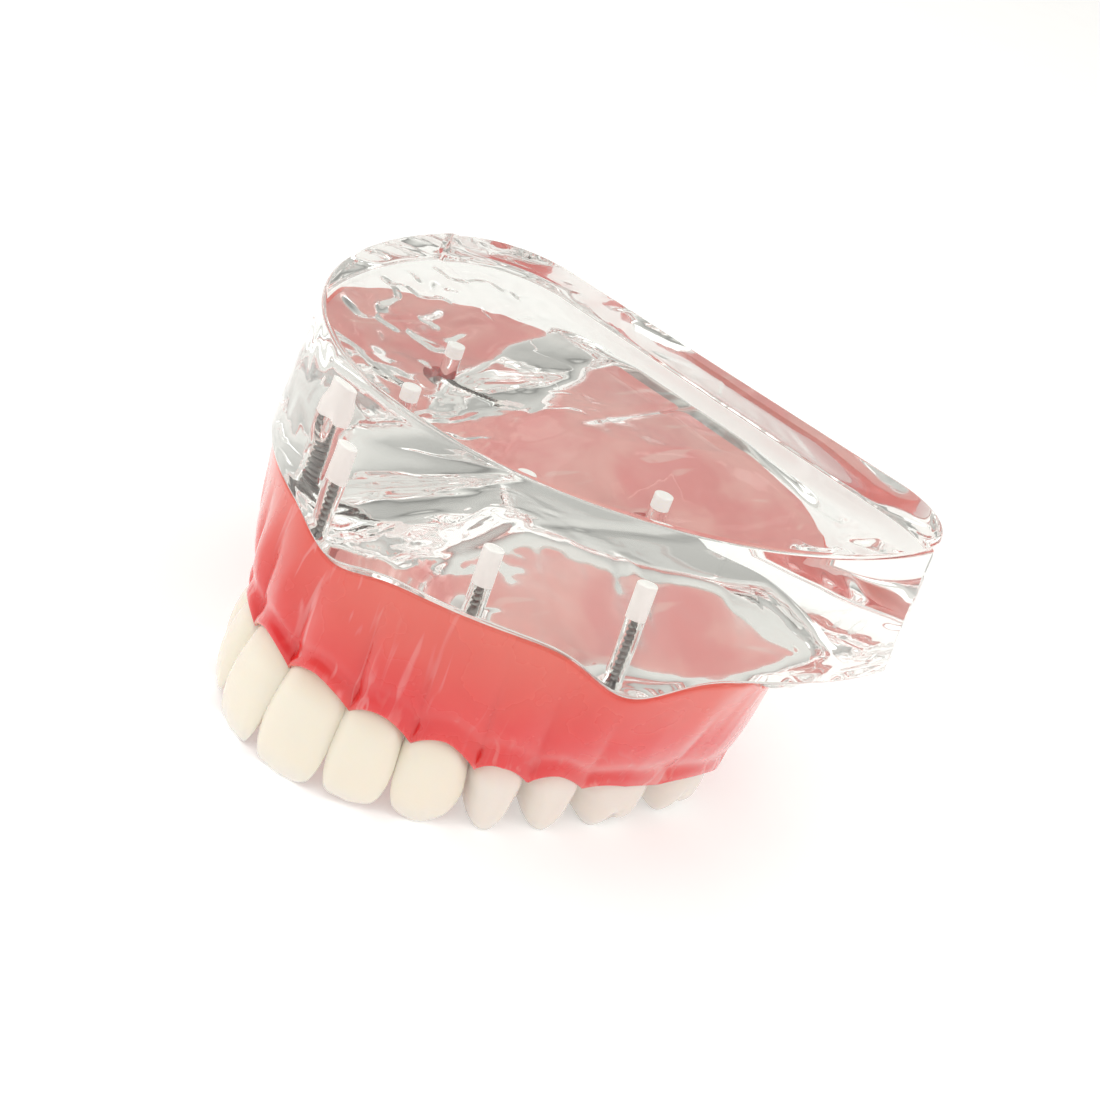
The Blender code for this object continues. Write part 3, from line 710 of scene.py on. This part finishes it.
ACRYLIC = clear_acrylic()
FROSTED_GLOW = frosted_bore_painted_glow()
PINK = pink_acrylic()
FITTING = fitting_acrylic()
FRONT_RESIN = tooth_resin("tooth_resin_front", (0.80, 0.66, 0.54), (0.88, 0.82, 0.70),
                          (0.82, 0.79, 0.75), 0.012)
BACK_RESIN = tooth_resin("tooth_resin_back", (0.80, 0.65, 0.58), (0.84, 0.785, 0.72),
                         (0.80, 0.77, 0.74), 0.008)
IMPLANT_METAL = metal("implant_metal", (0.16, 0.15, 0.15), (0.34, 0.32, 0.31), 0.34)
HOUSING_METAL = metal("housing_metal", (0.62, 0.61, 0.6), (0.78, 0.77, 0.75), 0.24)
RUBBER = ring_rubber()


# ---- jaw block

def implant_spots():
    spots = []
    for side in (1, -1):
        for degrees in IMPLANT_BEARINGS:
            bearing = side * math.radians(degrees)
            spots.append(place(bearing, crest_radius(bearing), 0.0)[:2])
    return spots


def turned(name, profile, spot, materials, sides=48, slots=None, sharp=SHARP_TURNED):
    """A closed solid round a spot; a row's radius and height may vary with the angle."""
    angle = np.linspace(0.0, 2 * math.pi, sides, endpoint=False)
    rows = []
    for radius, height in profile:
        radius = np.maximum(radius, 1e-4)
        rows.append(np.stack([spot[0] + radius * np.cos(angle), spot[1] + radius * np.sin(angle),
                              np.full(sides, height)], axis=-1))
    points = np.concatenate(rows)
    faces = ring_faces(len(profile), sides)
    add_caps(faces, len(points), sides)
    face_slots = None
    if slots is not None:
        face_slots = np.repeat(slots, sides).tolist() + [slots[0], slots[-1]]
    return make_mesh(name, points, faces, materials, face_slots, sharp)


def clear_block():
    """The cast block: relief below, rounded lip, polished wall and flat top face."""
    total = WALL[2][-1]
    count = BLOCK_COLUMNS
    run = (np.arange(count) + 0.5) / count * 2 * total - total
    bearing = np.sign(run) * np.interp(np.abs(run), WALL[2], WALL[0])
    crest = crest_radius(bearing)
    seam = read(LIP, bearing)
    rows = [place(bearing, share * crest, jaw_height(bearing, share * crest))
            for share in np.linspace(0.0, 1.0, VAULT_ROWS)[1:]]
    for share in np.linspace(0.0, 1.0, SLOPE_ROWS)[1:]:
        radius = crest + share * (seam - crest)
        rows.append(place(bearing, radius, jaw_height(bearing, radius)))
    seam_level = rows[-1][:, 2]
    for turn in np.linspace(0.0, math.pi / 2, LIP_ROWS)[1:]:
        outline = polar_table(block_outline(LIP_INSET * (1.0 - math.sin(turn))))
        rows.append(place(bearing, read(outline, bearing),
                          seam_level + LIP_HEIGHT * (1.0 - math.cos(turn))))
    for step in range(1, WALL_ROWS + 1):
        share = step / WALL_ROWS
        outline = polar_table(block_outline(0.0, share))
        level = (seam_level + LIP_HEIGHT) * (1 - share) + (BLOCK_HEIGHT - TOP_EDGE) * share
        wave = WALL_WAVE * field(run, level, 6.0, 21) * math.sin(math.pi * share)
        flow = field(run + 1.5 * field(run, level, 4.0, 23), level, 2.7, 22)
        wave += WALL_FLOW * flow * bump(bearing, -0.52, 0.5) * math.sin(math.pi * share) ** 0.5
        rows.append(place(bearing, read(outline, bearing) - WALL_INSET + wave, level))
    for turn in np.linspace(0.0, math.pi / 2, EDGE_ROWS)[1:]:
        outline = polar_table(block_outline(TOP_EDGE * (1.0 - math.cos(turn)), 1.0))
        rows.append(place(bearing, read(outline, bearing) - WALL_INSET,
                          BLOCK_HEIGHT - TOP_EDGE * (1.0 - math.sin(turn))))
    outline = polar_table(block_outline(TOP_EDGE + 0.1, 1.0))
    rows.append(place(bearing, read(outline, bearing) - WALL_INSET, BLOCK_HEIGHT))
    points = np.concatenate(rows + [place(0.0, 0.0, jaw_height(0.0, 0.0))[None]])
    faces = ring_faces(len(rows), count)
    hub = len(points) - 1
    faces.extend([hub, (column + 1) % count, column] for column in range(count))
    faces.append(list(range(hub - count, hub)))
    block = make_mesh("clear_block", points, faces, (ACRYLIC, FROSTED_GLOW))
    profile = [(0.0, BORE_BOTTOM), (BORE_RADIUS, BORE_BOTTOM),
               (BORE_RADIUS, IMPLANT_TOP + FROST_RISE), (BORE_RADIUS, BORE_TOP - BORE_CHAMFER),
               (BORE_RADIUS - BORE_CHAMFER, BORE_TOP), (0.0, BORE_TOP)]
    cut_with(block, [turned("bore", profile, spot, (ACRYLIC, FROSTED_GLOW), 40, (0, 0, 1, 1, 1))
                     for spot in implant_spots()])
    return block


# ---- denture

def tooth_values(run):
    """Gum height, scallop and outer and inner neck offsets along the arch."""
    run = np.abs(run)
    middles = 0.5 * (CONTACTS[1:] + CONTACTS[:-1])
    index = np.clip(np.searchsorted(CONTACTS, run, side="right") - 1, 0, len(TEETH) - 1)
    widths = np.array([tooth[1] for tooth in TEETH])
    share = np.clip((run - CONTACTS[index]) / widths[index], 0.0, 1.0)
    scallop = np.sin(math.pi * share) ** 0.75
    gum, drop, outer, inner = (np.interp(run, middles, [tooth[column] for tooth in TEETH])
                               for column in (3, 4, 7, 8))
    return gum - drop * (1.0 - scallop), scallop, outer, inner


def denture_radius(bearing):
    start = math.radians(DISTAL_START)
    share = np.clip((np.abs(bearing) - start) / (math.pi / 2 - start), 0.0, None)
    return read(LIP, bearing) - GAP - DISTAL_INSET * eased(share, DISTAL_EASE)


def oral_height(bearing, radius, inner, lingual):
    """The palate's side towards the tongue."""
    crest = crest_radius(bearing)
    flat = VAULT_HEIGHT - GAP - PALATE_THICKNESS
    end = np.minimum(PALATE_REACH, inner / crest)
    share = (end - radius / crest) / (end - VAULT_SHARE + 0.04)
    height = lingual + (flat - lingual) * smooth_step(share)
    detail = 0.5 * relief_detail(bearing, radius) * smooth_step((end - radius / crest) / 0.2)
    ceiling = jaw_height(bearing, radius) - GAP - 0.8 * PALATE_THICKNESS
    return np.minimum(height + detail, ceiling)


def denture_body():
    """Flange, gum margins, palate and fitting side, closed straight across the rear."""
    last = CONTACTS[-1]
    end = float(np.interp(HUB_Y, ARCH_POINTS[:, 1], ARCH_RUN))
    half = np.linspace(0.0, end, ARCH_COLUMNS)
    run = np.concatenate([-half[:0:-1], half])
    x, y = arch_point(run)
    bearing = np.arctan2(x, HUB_Y - y)
    bearing[0] = -math.pi / 2
    bearing[-1] = math.pi / 2
    last_x, last_y = arch_point(last)
    last_bearing = math.atan2(last_x, HUB_Y - last_y)
    beyond = np.clip(np.abs(bearing) - last_bearing, 0.0, None)
    rise = beyond / (math.pi / 2 - last_bearing)
    behind = smooth_step((np.abs(run) - last + 0.8) / 2.0)
    gum, scallop, neck_out, neck_in = tooth_values(run)
    scallop = scallop * (1.0 - behind)
    arch = read(ARCH, bearing)
    outer = denture_radius(bearing)
    top = jaw_height(bearing, outer) - GAP
    edge = arch + neck_out + GUM_PROUD - PAPILLA_RECESS * (1.0 - scallop)
    inner = arch + neck_in - GUM_PROUD
    last_arch = float(read(ARCH, last_bearing))
    last_edge = last_arch + TEETH[-1][7] + GUM_PROUD - PAPILLA_RECESS
    last_depth = last_edge - (last_arch + TEETH[-1][8] - GUM_PROUD)
    pulled = np.minimum(last_edge - DISTAL_PULL * beyond, outer - 0.5)
    edge = edge * (1 - behind) + pulled * behind
    inner = inner * (1 - behind) + (pulled - last_depth * (1 - rise) - 3.0 * rise) * behind
    lingual = 0.5 * gum + TONGUE_MARGIN + DISTAL_RISE * rise
    gum = gum + DISTAL_RISE * rise
    columns = []
    roll = RIM_ROLL
    for turn in np.linspace(math.pi / 2, 0.0, 5)[:-1]:
        columns.append((outer - roll + roll * math.cos(turn), top - roll + roll * math.sin(turn)))
    wobble = STREAK_RELIEF * field(run, run * 0.0, 2.6, 31) * (0.35 + 0.65 * bump(run, 0.0, 16.0))
    start = top - roll
    stop = gum + GUM_ROLL
    for share in np.linspace(0.0, 1.0, FLANGE_ROWS):
        swell = FLANGE_SWELL * math.sin(math.pi * share) ** 0.8
        cuff = (CUFF_RISE * float(bump(share, 1.0, 0.07))
                - CUFF_DIP * float(bump(share, 0.85, 0.07)))
        root = (ROOT_SWELL * scallop - 0.18) * float(bump(share, 0.58, 0.27))
        valley = -VALLEY_DIP * (1 - scallop) * (1 - behind) * float(bump(share, 0.86, 0.16))
        streak = wobble * math.sin(math.pi * share)
        level = start + (stop - start) * share
        lump = LUMP_RELIEF * field(run, level * 0.4, 2.4, 32) * math.sin(math.pi * share)
        radius = (outer + (edge - outer) * share + swell + root + valley + streak + lump
                  + cuff * (1 - behind))
        columns.append((radius, level))
    rim = columns[-1][0]
    for turn in np.radians([-20, -40, -60, -80, -100, -125, -150]):
        columns.append((rim - GUM_ROLL + GUM_ROLL * math.cos(turn),
                        gum + GUM_ROLL + GUM_ROLL * math.sin(turn)))
    for share in (0.15, 0.3, 0.5, 0.7, 0.85):
        columns.append((rim - 0.9 + (inner + 0.9 - rim + 0.9) * share,
                        gum + (lingual - gum) * share + 0.3 + 0.5 * math.sin(math.pi * share)))
    for turn in np.radians([-60, -100, -140, -180]):
        columns.append((inner + TONGUE_ROLL + TONGUE_ROLL * math.cos(turn),
                        lingual + TONGUE_ROLL + TONGUE_ROLL * math.sin(turn)))
    for share in np.linspace(0.985, 0.0, PALATE_ROWS)[:-1]:
        columns.append((inner * share,
                        oral_height(bearing, inner * share, inner, lingual + TONGUE_ROLL)))
    hub_low = VAULT_HEIGHT - GAP - PALATE_THICKNESS
    zero = np.zeros_like(bearing)
    columns.append((zero, zero + hub_low))
    fitting = len(columns)
    columns.append((zero, jaw_height(zero, zero) - GAP))
    crest = np.minimum(crest_radius(bearing), 0.9 * outer)
    for share in np.linspace(0.0, 1.0, FITTING_ROWS)[1:]:
        columns.append((crest * share, jaw_height(bearing, crest * share) - GAP))
    for share in np.linspace(0.0, 1.0, FITTING_SLOPE_ROWS)[1:-1]:
        radius = crest + share * (outer - roll - crest)
        columns.append((radius, jaw_height(bearing, radius) - GAP))
    grid = np.stack([place(bearing, radius, height) for radius, height in columns], axis=1)
    rows, count = grid.shape[:2]
    faces = ring_faces(rows, count)
    slots = np.tile(np.arange(count) >= fitting, rows - 1).astype(int).tolist()
    points = grid.reshape(-1, 3)
    add_caps(faces, len(points), count)
    body = make_mesh("denture_body", points, faces, (PINK, FITTING), slots + [0, 0])
    reach = HOUSING_RADIUS + POCKET_ROOM
    floor = HOUSING_BOTTOM - POCKET_ROOM
    profile = [(0.0, floor), (reach, floor), (reach, HOUSING_TOP),
               (HOUSING_RADIUS + 0.5, POCKET_TOP), (0.0, POCKET_TOP)]
    cut_with(body, [turned("pocket", profile, spot, (PINK,)) for spot in implant_spots()])
    return body


# ---- teeth

def cusp_table(kind, width):
    """Place of each cusp along and across the crown, and how far it falls short."""
    if kind == "molar":
        return ((-0.20 * width, 0.0, 0.0), (0.19 * width, -0.2, 0.35),
                (-0.17 * width, -6.0, 0.1), (0.20 * width, -5.6, 0.45))
    return ((0.0, 0.0, 0.0), (-0.03 * width, -5.0, 0.5))


def occlusal_height(cusps, x, y):
    """Rounded cusps that meet in grooves, with low ridges running off the tips."""
    cones = np.stack([tip + 0.72 * (np.sqrt((x - cx) ** 2 + (y - cy) ** 2 + 0.6 ** 2) - 0.6)
                      for cx, cy, tip in cusps])
    sharpness = 5.0
    soft = -np.log(np.exp(-sharpness * cones).sum(0)) / sharpness
    wrinkle = 0.10 * field(x, y, 1.3, 41) * smooth_step(soft / 1.2)
    return np.maximum(soft, 0.0) + wrinkle


def section(angle, half_width, outward, inward, power, taper):
    """Rounded section of a crown, narrower towards the tongue."""
    cos = np.cos(angle)
    sin = np.sin(angle)
    x = np.sign(cos) * np.abs(cos) ** (2 / power) * half_width
    y = np.sign(sin) * np.abs(sin) ** (2 / power)
    x = x * (1.0 - taper * np.maximum(0.0, 0.35 - y) / 1.35)
    middle = 0.5 * (outward + inward)
    return x, middle + y * 0.5 * (outward - inward)


AROUND = 2 * math.pi * (np.arange(SIDES) + 0.5) / SIDES


def smooth_curve(knots, values, places):
    """Smooth curve through the knots."""
    knots = np.asarray(knots, float)
    values = np.asarray(values, float)
    slopes = np.gradient(values, knots)
    index = np.clip(np.searchsorted(knots, places, side="right") - 1, 0, len(knots) - 2)
    width = knots[index + 1] - knots[index]
    share = (places - knots[index]) / width
    share2 = share * share
    share3 = share2 * share
    return ((2 * share3 - 3 * share2 + 1) * values[index]
            + (share3 - 2 * share2 + share) * width * slopes[index]
            + (3 * share2 - 2 * share3) * values[index + 1]
            + (share3 - share2) * width * slopes[index + 1])


def posterior_rings(kind, width, gum):
    """Chewing surface from its middle outwards, then the crown's wall up to the gum."""
    depth, taper, belly, table = BACK_CROWNS[kind]
    cusps = cusp_table(kind, width)
    half = 0.5 * width - 0.5 * CONTACT_GAP
    levels = (0.0, 0.15, 0.35, 0.6, 0.85, 1.0)
    widths = (table, 0.4 + 0.6 * table, 0.3 * table + 0.68, 1.0, 0.96, 0.88)
    rings = []
    edge_x, edge_y = section(AROUND, half * table, 0.75, 1.15 - depth, 2.3, taper)
    middle = 0.5 * (1.9 - depth)
    for share in np.linspace(0.0, 1.0, 19)[1:]:
        x = edge_x * share
        y = middle + (edge_y - middle) * share
        rings.append((x, y, occlusal_height(cusps, x, y)))
    border = rings[-1][2]
    top = gum + TOOTH_STUB
    for share in np.linspace(0.0, 1.0, 34)[1:]:
        fat = float(smooth_curve((0.0, 0.12, 0.4, 0.75, 1.0), (0.0, 0.55, 1.0, 0.75, 0.3), share))
        cheek = belly * fat + 0.75 * (1 - fat)
        tongue = cheek - depth + 0.4 * (1 - fat)
        wide = float(smooth_curve(levels, widths, share))
        x, y = section(AROUND, half * wide, cheek, tongue, 2.3 + 0.2 * share, taper)
        outside = smooth_step((np.sin(AROUND) - 0.2) / 0.5)
        if kind == "molar":
            y = y - 0.34 * bump(x, 0.0, 0.75) * outside * (1 - smooth_step((share - 0.05) / 0.6))
        y = y + 0.12 * bump(np.abs(x), 0.45 * half, 0.9) * outside * (1 - share)
        rings.append((x, y, border + (top - border) * share))
    return rings


def anterior_rings(kind, width, gum):
    """Crown of a front tooth, from its biting edge up into the gum."""
    half = 0.5 * width - 0.5 * CONTACT_GAP
    levels = (0.0, 0.1, 0.3, 0.55, 0.8, 1.0, 1.16)
    widths = (0.80, 0.91, 0.99, 1.0, 0.93, 0.84, 0.74)
    fronts = (0.0, 0.35, 0.85, 1.0, 0.75, 0.2, -0.3)
    backs = (-0.8, -1.5, -2.6, -4.0, -5.6, -5.6, -4.2)
    top = gum + TOOTH_STUB
    # how high the edge rises at its corners, how suddenly, and more so on the far side
    tip, power, far, near = (2.3, 1.9, 1.1, 0.9) if kind == "canine" else (1.5, 3.0, 1.25, 0.75)
    rings = []
    for share in np.concatenate([[0.0, 0.006, 0.016, 0.03, 0.05], np.linspace(0.075, 1.16, 44)]):
        fat = float(smooth_curve(levels, widths, share))
        front = float(smooth_curve(levels, fronts, share))
        back = float(smooth_curve(levels, backs, share))
        close = math.sqrt(max(0.0, 1.0 - (1.0 - min(1.0, share / 0.05)) ** 2))
        middle = 0.5 * (front + back)
        thick = 0.5 * (front - back) * (0.25 + 0.75 * close)
        round_off = 1.0 - 0.10 * (1.0 - close)
        x, y = section(AROUND, half * fat * round_off, middle + thick, middle - thick, 2.5, 0.42)
        outside = smooth_step((np.sin(AROUND) - 0.2) / 0.5)
        fade = max(0.0, 1.0 - share / 0.5)
        lobes = np.cos(2 * math.pi * 1.5 * x / half)
        y = y + 0.07 * lobes * outside * fade
        belly = math.sin(math.pi * min(1.0, share)) ** 0.5
        y = y + 0.25 * outside * (1.0 - (x / half) ** 2) * belly
        rounding = tip * np.where(x > 0, far, near) * (np.abs(x) / half) ** power * fade
        rings.append((x, y, np.minimum(share * gum + rounding, top)))
    return rings


def tooth(name, index, side):
    label, width, _, gum, _, lift, tilt = TEETH[index][:7]
    kind = label.split("_")[-1]
    posterior = kind in ("molar", "premolar")
    rings = (posterior_rings if posterior else anterior_rings)(kind, width, gum - lift)
    here = np.array(arch_point(0.5 * (CONTACTS[index] + CONTACTS[index + 1])))
    before = np.array(arch_point(CONTACTS[index]))
    after = np.array(arch_point(CONTACTS[index + 1]))
    along = (after - before) / np.hypot(*(after - before))
    out = np.array([along[1], -along[0]])
    rows = []
    for x, y, height in rings:
        lean = -tilt * height / gum
        spot = here + x[:, None] * along + (y + lean)[:, None] * out
        rows.append(np.column_stack([side * spot[:, 0], spot[:, 1], height + lift]))
    points = np.concatenate(rows)
    faces = ring_faces(len(rows), SIDES)
    if posterior:
        points = np.concatenate([points, rows[0].mean(0)[None]])
        faces.extend([len(points) - 1, (k + 1) % SIDES, k] for k in range(SIDES))
        faces.append(list(range(len(points) - 1 - SIDES, len(points) - 1)))
    else:
        add_caps(faces, len(points), SIDES)
    return make_mesh(name, points, faces, (BACK_RESIN if posterior else FRONT_RESIN,))


# ---- hardware

def implant(name, spot):
    """Ball, neck, collar and a helical thread."""
    sides = 40
    angle = np.linspace(0.0, 2 * math.pi, sides, endpoint=False)
    rows = []
    for turn in np.radians(np.linspace(4, 146, 14)):
        rows.append((BALL_RADIUS * math.sin(turn), BALL_HEIGHT - BALL_RADIUS * math.cos(turn)))
    rows += [(0.5, BALL_HEIGHT + 0.82), (0.5, BALL_HEIGHT + 0.95),
             (COLLAR_RADIUS - 0.2, COLLAR_TOP - 0.55), (COLLAR_RADIUS - 0.04, COLLAR_TOP - 0.46),
             (COLLAR_RADIUS, COLLAR_TOP - 0.38), (COLLAR_RADIUS, COLLAR_TOP - 0.04),
             (COLLAR_RADIUS - 0.05, COLLAR_TOP), (CORE_RADIUS, COLLAR_TOP + 0.02)]
    for height in np.arange(COLLAR_TOP + 0.1, IMPLANT_TOP - 0.5, THREAD_STEP):
        phase = (height / THREAD_PITCH - angle / (2 * math.pi)) % 1.0
        crest = np.clip(1.0 - np.abs(phase - 0.5) * 3.2, 0.0, 0.85) / 0.85
        fade = min(1.0, (height - COLLAR_TOP) / 0.5, (IMPLANT_TOP - 0.45 - height) / 0.5)
        rows.append((CORE_RADIUS + (THREAD_RADIUS - CORE_RADIUS) * crest * max(0.0, fade), height))
    rows += [(0.45, IMPLANT_TOP - 0.35), (0.36, IMPLANT_TOP - 0.15), (0.2, IMPLANT_TOP - 0.03),
             (0.05, IMPLANT_TOP)]
    return turned(name, rows, spot, (IMPLANT_METAL,), sides, sharp=SHARP_THREAD)


def housing(name, spot):
    inner = HOUSING_RADIUS - HOUSING_WALL
    profile = [
        (0.0, HOUSING_BOTTOM), (HOUSING_RADIUS - 0.3, HOUSING_BOTTOM),
        (HOUSING_RADIUS - 0.08, HOUSING_BOTTOM + 0.08), (HOUSING_RADIUS, HOUSING_BOTTOM + 0.3),
        (HOUSING_RADIUS, HOUSING_BOTTOM + 1.2), (HOUSING_RADIUS - 0.15, HOUSING_BOTTOM + 1.35),
        (HOUSING_RADIUS - 0.15, HOUSING_BOTTOM + 1.75), (HOUSING_RADIUS, HOUSING_BOTTOM + 1.9),
        (HOUSING_RADIUS, HOUSING_TOP - 0.08), (HOUSING_RADIUS - 0.08, HOUSING_TOP),
        (HOUSING_MOUTH + 0.1, HOUSING_TOP), (HOUSING_MOUTH, HOUSING_TOP - 0.1),
        (HOUSING_MOUTH, HOUSING_TOP - HOUSING_WALL), (inner, HOUSING_TOP - HOUSING_WALL - 0.1),
        (inner, HOUSING_BOTTOM + HOUSING_WALL), (0.0, HOUSING_BOTTOM + HOUSING_WALL),
    ]
    return turned(name, profile, spot, (HOUSING_METAL,), 56)


def rubber_ring(name, spot):
    turns = np.linspace(0.0, 2 * math.pi, 56, endpoint=False)[:, None]
    wind = np.linspace(0.0, 2 * math.pi, 18, endpoint=False)[None]
    reach = RING_INNER + RING_TUBE + RING_TUBE * np.cos(wind)
    points = np.stack([spot[0] + reach * np.cos(turns), spot[1] + reach * np.sin(turns),
                       BALL_HEIGHT + RING_TUBE * np.sin(wind) + 0.0 * turns], axis=-1)
    return make_mesh(name, points.reshape(-1, 3), ring_faces(56, 18, close_rows=True), (RUBBER,))


# ---- assembly

def settle(piece, body, node):
    """Puts a piece on its body in place of the plain solid."""
    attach(piece, body)
    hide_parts(node)


settle(clear_block(), "jaw_block", "clear_base")
settle(denture_body(), "denture", "denture_base")
for side, side_name in ((1, "left"), (-1, "right")):
    for index, row in enumerate(TEETH):
        node = side_name + "_" + row[0]
        settle(tooth("tooth_" + node, index, side), "denture", node)
for number, spot in enumerate(implant_spots(), 1):
    settle(implant(f"threaded_implant_{number}", spot), "jaw_block", f"implant_{number}")
    settle(housing(f"ring_housing_{number}", spot), "denture", f"housing_{number}")
    settle(rubber_ring(f"rubber_ring_{number}", spot), "denture", f"o_ring_{number}")


# ---- floor, light, camera

def make_floor():
    line = np.linspace(-FLOOR_HALF_M, FLOOR_HALF_M, FLOOR_STEPS)
    grid = np.stack(np.meshgrid(line, line), axis=-1).reshape(-1, 2)
    mesh = bpy.data.meshes.new("floor")
    mesh.from_pydata([(x, y, 0.0) for x, y in grid.tolist()], [],
                     ring_faces(FLOOR_STEPS, FLOOR_STEPS, close_columns=False))
    mesh.materials.append(floor_paper())
    add_object("floor", mesh)


def soft_light(name, azimuth, elevation, width, height, power):
    """A large panel that faces the model."""
    lamp = bpy.data.lights.new(name, "AREA")
    lamp.shape = "RECTANGLE"
    lamp.size = width
    lamp.size_y = height
    lamp.energy = power
    back = direction(azimuth, elevation)
    item = add_object(name, lamp)
    item.location = back * PANEL_DISTANCE_M + Vector(PANEL_AIM_M)
    item.rotation_euler = back.to_track_quat("Z", "Y").to_euler()


def make_world():
    """A soft sky with a dark band just above the horizon, and plain white behind the model."""
    world = bpy.data.worlds.new("studio")
    bpy.context.scene.world = world
    world.use_nodes = True
    tree = world.node_tree
    level = map_range(tree, coordinate(tree, "Generated", "Z"), {"From Min": -1.0})
    stops = [(position, [value * tint for tint in SKY_TINT]) for position, value in SKY_STOPS]
    sky = tree.nodes["Background"]
    set_inputs(tree, sky, {"Color": ramp(tree, level, stops, "LINEAR"),
                           "Strength": SKY_STRENGTH})
    plain = add_node(tree, "ShaderNodeBackground", {"Color": (1.0, 1.0, 1.0)})
    path = add_node(tree, "ShaderNodeLightPath", {})
    mix_surface(tree, "World Output", path.outputs["Is Camera Ray"], sky, plain)


def make_camera():
    azimuth = math.radians(CAMERA_AZIMUTH)
    roll = math.radians(CAMERA_ROLL)
    back = direction(CAMERA_AZIMUTH, CAMERA_ELEVATION)
    right = Vector((math.cos(azimuth), math.sin(azimuth), 0.0))
    up = back.cross(right)
    x_axis = right * math.cos(roll) + up * math.sin(roll)
    y_axis = up * math.cos(roll) - right * math.sin(roll)
    rotation = Matrix((x_axis, y_axis, back)).transposed()
    aim = Vector((CAMERA_AIM[0] / CAMERA_FOCAL, CAMERA_AIM[1] / CAMERA_FOCAL, -1.0)).normalized()
    turn = Vector((0.0, 0.0, -1.0)).rotation_difference(aim).to_matrix()
    camera = bpy.data.cameras.new("camera")
    camera.lens = CAMERA_FOCAL * camera.sensor_width / FRAME_WIDTH
    camera.clip_start = CLIP_START_M
    camera.clip_end = CLIP_END_M
    item = add_object("camera", camera)
    location = (Vector(CAMERA_TARGET) + back * CAMERA_DISTANCE) * MM
    item.matrix_world = Matrix.Translation(location) @ (rotation @ turn).to_4x4()
    bpy.context.scene.camera = item


make_floor()
make_world()
for panel in PANELS:
    soft_light(*panel)
make_camera()
scene = bpy.context.scene
scene.view_settings.view_transform = "Standard"
scene.view_settings.look = "None"
scene.cycles.max_bounces = LIGHT_BOUNCES
scene.cycles.transmission_bounces = LIGHT_BOUNCES
scene.cycles.glossy_bounces = LIGHT_BOUNCES
scene.cycles.transparent_max_bounces = LIGHT_BOUNCES
